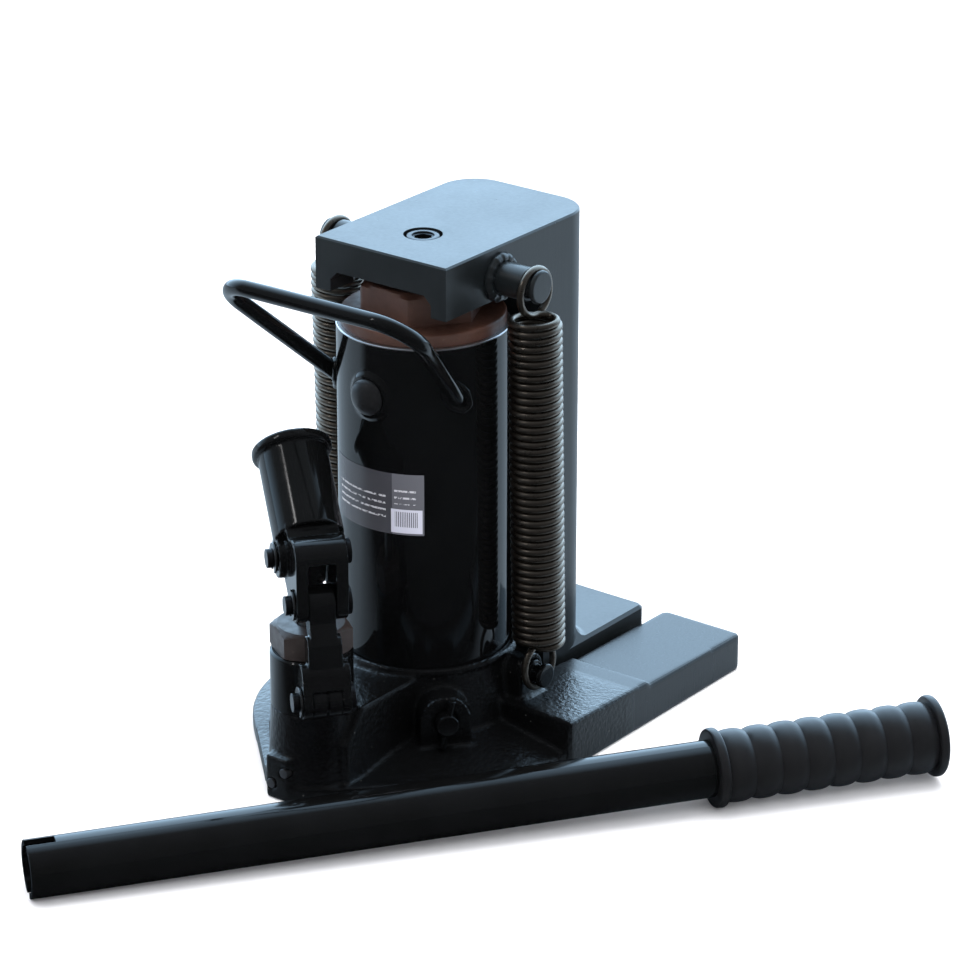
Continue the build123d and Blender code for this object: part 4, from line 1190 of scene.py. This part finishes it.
@dataclass
class ReleaseValve:
    """Release valve screw, its seal and the cross pin that the bar turns."""

    finishes: Finishes
    stem_r: float = 5.4
    tip: float = 27.0
    end: float = 62.0
    pin_r: float = 1.8
    pin_at: float = 59.4
    height: float = 26.0
    pin_half: float = 12.6
    pin_tilt: float = -12.0

    def build(self) -> None:
        """Screw, seal ring and pin."""
        _, axis = joint_place("release_turn")
        place = Place((0, 0, self.height), axis, (0, 0, 1))
        neck = self.stem_r - 1.6
        outline = rounded([(0, self.tip), (1.5, self.tip, 0.3), (self.stem_r, self.tip + 6, 0.3),
                           (self.stem_r, 44, 0.2), (neck, 44, 0.2), (neck, 47, 0.2), (self.stem_r, 47, 0.2),
                           (self.stem_r, self.end, 0.9), (0, self.end)])
        piece("release_screw", [lathe(outline, place, 64)],
              Body.VALVE, "release_valve", self.finishes.enamel)
        ring = band(neck, self.stem_r, 44.1, 46.9, 0.4, 0.8)
        piece("release_seal_ring", [lathe(ring, place, 48, True)],
              Body.VALVE, "release_valve_seal", self.finishes.rubber)
        axes = place.axes()
        tilt = radians(self.pin_tilt)
        way = cos(tilt) * axes[0] + sin(tilt) * axes[1]
        centre = np.array(place.origin) + axes[2] * self.pin_at
        reach = self.pin_half - 0.5
        path = centre + np.linspace(-reach, reach, 9)[:, None] * way
        pin = sweep(path, axes[2], self.pin_r, 24, cap=0.28)
        piece("release_cross_pin", [pin], Body.VALVE, "release_pin", self.finishes.enamel)


@dataclass
class HandleBar:
    """Loose handle bar with its moulded grip."""

    finishes: Finishes
    radius: float = 13.5
    length: float = 434.0
    end: tuple = (-30.6, -248.5)
    heading: float = 53.54
    grip: float = 113.0
    bulges: int = 8
    bulge_r: float = 17.25
    valley_r: float = 15.75
    inner_flange_r: float = 18.8
    flange_r: float = 19.4
    flange_t: float = 5.0

    def place(self) -> Place:
        """Axis of the bar, which lies on its own end and on the grip's inner flange."""
        rise = (self.inner_flange_r - self.radius) / (self.length - self.grip)
        level = np.sqrt(1 - rise ** 2)
        a = radians(self.heading)
        return Place((*self.end, self.radius), (cos(a) * level, sin(a) * level, rise), (-sin(a), cos(a), 0))

    def build(self) -> None:
        """Tube and grip."""
        tube = worked_copy("handle_tube", "bar_tube", Worked.BEVELLED, 0.45)
        fit(tube, Body.BAR, ["handle_tube"], self.finishes.enamel)
        start, top = self.length - self.grip, self.length
        first, last = start + self.flange_t, top - self.flange_t
        pitch = (last - first) / self.bulges
        t = np.linspace(0, self.bulges, self.bulges * 14 + 1)
        rib = 1 - np.abs(2 * (t % 1.0) - 1) ** 2.6
        ribs = np.stack([self.valley_r + (self.bulge_r - self.valley_r) * rib, first + t * pitch], axis=1)
        bore = self.radius - 0.06
        flange = self.inner_flange_r
        low = rounded([(bore, start), (flange - 0.6, start, 0.9), (flange, start + 1.2, 1.0),
                       (flange, first - 0.4, 1.6), (self.valley_r, first - 0.2)])
        high = rounded([(self.valley_r, last + 0.3), (self.flange_r, last + 0.4, 1.6),
                        (self.flange_r, top - 0.9, 1.3), (self.flange_r - 2.2, top, 1.2),
                        (9.0, top, 1.0), (8.0, top - 0.5, 0.5), (0, top - 0.5)])
        inside = np.array([(0, top - 3.0), (bore, top - 3.0), (bore, start + 0.01)])
        outline = np.vstack([low, ribs[1:-1], high])
        outline = np.vstack([outline, inside])
        piece("bar_grip", [lathe(outline, self.place(), 112, True)],
              Body.BAR, "handle_grip", self.finishes.rubber)


@dataclass
class CheckBalls:
    """Balls of the suction and release seats."""

    finishes: Finishes

    def build(self) -> None:
        """The CAD balls stay, in bare steel."""
        node = frame["nodes"]["check_balls"]
        node.data.materials.clear()
        node.data.materials.append(self.finishes.steel)
        log.info("check_balls: CAD node kept in bare steel")


# ---- studio ----------------------------------------------------------------------------------------
@dataclass
class Studio:
    """Pale floor, soft lights and the camera."""

    target: Triple = (-39.53, 95.13, 85.0)
    azimuth: float = 37.389
    elevation: float = 22.649
    distance: float = 2037.4
    lens: float = 152.49
    floor_half: float = 6.0

    def toward(self) -> Array:
        """Unit vector from the target to the camera."""
        a, e = radians(self.azimuth), radians(self.elevation)
        return np.array([sin(a) * cos(e), -cos(a) * cos(e), sin(e)])

    def camera(self) -> None:
        """Long lens looking at the target, level with the horizon."""
        data = bpy.data.cameras.new("camera")
        data.lens = self.lens
        data.sensor_width = 36.0
        data.clip_start, data.clip_end = 0.05, 50.0
        obj = bpy.data.objects.new("camera", data)
        obj.location = (np.array(self.target) + self.toward() * self.distance) * MM
        obj.rotation_euler = Vector(-self.toward()).to_track_quat("-Z", "Y").to_euler()
        bpy.context.scene.collection.objects.link(obj)
        bpy.context.scene.camera = obj

    def light(self, name: str, at: Triple, aim: Triple, size: tuple, power: float,
              colour: Triple = (1, 1, 1), glint: bool = True) -> None:
        """Rectangular soft light at a point in metres, aimed at another; glint shows it in gloss."""
        data = bpy.data.lights.new(name, "AREA")
        data.shape = "RECTANGLE"
        data.size, data.size_y = size
        data.energy = power
        data.color = colour
        obj = bpy.data.objects.new(name, data)
        obj.location = at
        obj.rotation_euler = (Vector(aim) - Vector(at)).to_track_quat("-Z", "Y").to_euler()
        obj.visible_glossy = glint
        bpy.context.scene.collection.objects.link(obj)

    def floor(self) -> None:
        """Level sheet under the jack."""
        h = self.floor_half
        mesh = bpy.data.meshes.new("floor")
        mesh.from_pydata([(-h, -h, 0), (h, -h, 0), (h, h, 0), (-h, h, 0)], [], [(0, 1, 2, 3)])
        obj = bpy.data.objects.new("floor", mesh)
        bpy.context.scene.collection.objects.link(obj)
        r = Recipe("pale_floor", IOR=1.3)
        dull = r.steps(r.noise(40, 3), (0.3, (0.93, 0.935, 0.96)), (0.7, (0.95, 0.955, 0.975)))
        ahead = self.toward()
        across, deep = (r.sum("MULTIPLY", r.part(axis), float(ahead[axis])) for axis in (0, 1))
        span = r.sum("ADD", across, deep)
        near = r.steps(span, (0.0, 0.0), (0.11, 1.0))
        glossy = r._node("ShaderNodeLightPath").outputs["Is Glossy Ray"]
        seen = r.blend(near, (0.30, 0.38, 0.45), (0.006, 0.007, 0.008))
        colour = r.blend(glossy, dull, seen)
        rough = r.steps(r.noise(30), (0.4, 0.7), (0.6, 0.8))
        obj.data.materials.append(r.finish(Base_Color=colour, Roughness=rough))

    def world(self) -> None:
        """Even grey room whose gloss is bright and bluish behind the jack and dark in front of it."""
        world = bpy.data.worlds.new("room")
        bpy.context.scene.world = world
        world.use_nodes = True
        tree = world.node_tree
        shader = tree.nodes["Background"]
        coords = tree.nodes.new("ShaderNodeTexCoord")
        dot = tree.nodes.new("ShaderNodeVectorMath")
        dot.operation = "DOT_PRODUCT"
        tree.links.new(coords.outputs["Generated"], dot.inputs[0])
        ahead = self.toward()
        dot.inputs[1].default_value = (float(ahead[0]), float(ahead[1]), 0.0)
        ramp = tree.nodes.new("ShaderNodeValToRGB")
        scale = tree.nodes.new("ShaderNodeMath")
        scale.operation = "MULTIPLY_ADD"
        tree.links.new(dot.outputs["Value"], scale.inputs[0])
        scale.inputs[1].default_value = 0.5
        scale.inputs[2].default_value = 0.5
        tree.links.new(scale.outputs[0], ramp.inputs[0])
        stops = ((0.0, (0.52, 0.76, 1.0)), (0.34, (0.18, 0.26, 0.34)), (0.50, (0.03, 0.034, 0.038)),
                 (1.0, (0.004, 0.004, 0.004)))
        while len(ramp.color_ramp.elements) < len(stops):
            ramp.color_ramp.elements.new(0.5)
        for element, (at, colour) in zip(ramp.color_ramp.elements, stops):
            element.position = at
            element.color = (*colour, 1.0)
        mix = tree.nodes.new("ShaderNodeMix")
        mix.data_type = "RGBA"
        path = tree.nodes.new("ShaderNodeLightPath")
        tree.links.new(path.outputs["Is Glossy Ray"], mix.inputs[0])
        mix.inputs[6].default_value = (0.22, 0.22, 0.224, 1.0)
        tree.links.new(ramp.outputs[0], mix.inputs[7])
        tree.links.new(mix.outputs[2], shader.inputs["Color"])
        shader.inputs["Strength"].default_value = 4.9

    def build(self) -> None:
        """Camera first, then floor, room and lights."""
        bpy.context.scene.view_settings.view_transform = "Standard"
        self.camera()
        self.floor()
        self.world()
        self.light("key", (1.3, -0.5, 1.5), (0, 0, 0.1), (1.0, 1.0), 9, (0.97, 0.98, 1.0), False)
        self.light("left", (-1.5, -0.7, 1.1), (0, 0, 0.1), (0.9, 1.2), 7, (0.95, 0.98, 1.0), False)
        self.light("strip", (-0.7, -1.3, 1.6), (0, 0, 0.1), (0.10, 0.5), 1.2, (1.0, 1.0, 1.0))
        self.light("top", (0.1, 0.2, 2.0), (0, 0, 0), (1.6, 1.6), 42, (1.0, 1.0, 1.0), False)


def main() -> None:
    """Builds the jack around the frame."""
    logging.basicConfig(level=logging.INFO, format="%(message)s")
    Studio().build()
    finishes = Finishes.mixed()
    for part in (BaseCasting, OilTank, CarryHandle, LiftingClaw, ReturnSprings, HandPump, PumpLever,
                 ReleaseValve, HandleBar, CheckBalls):
        part(finishes).build()


if __name__ == "__main__":
    main()
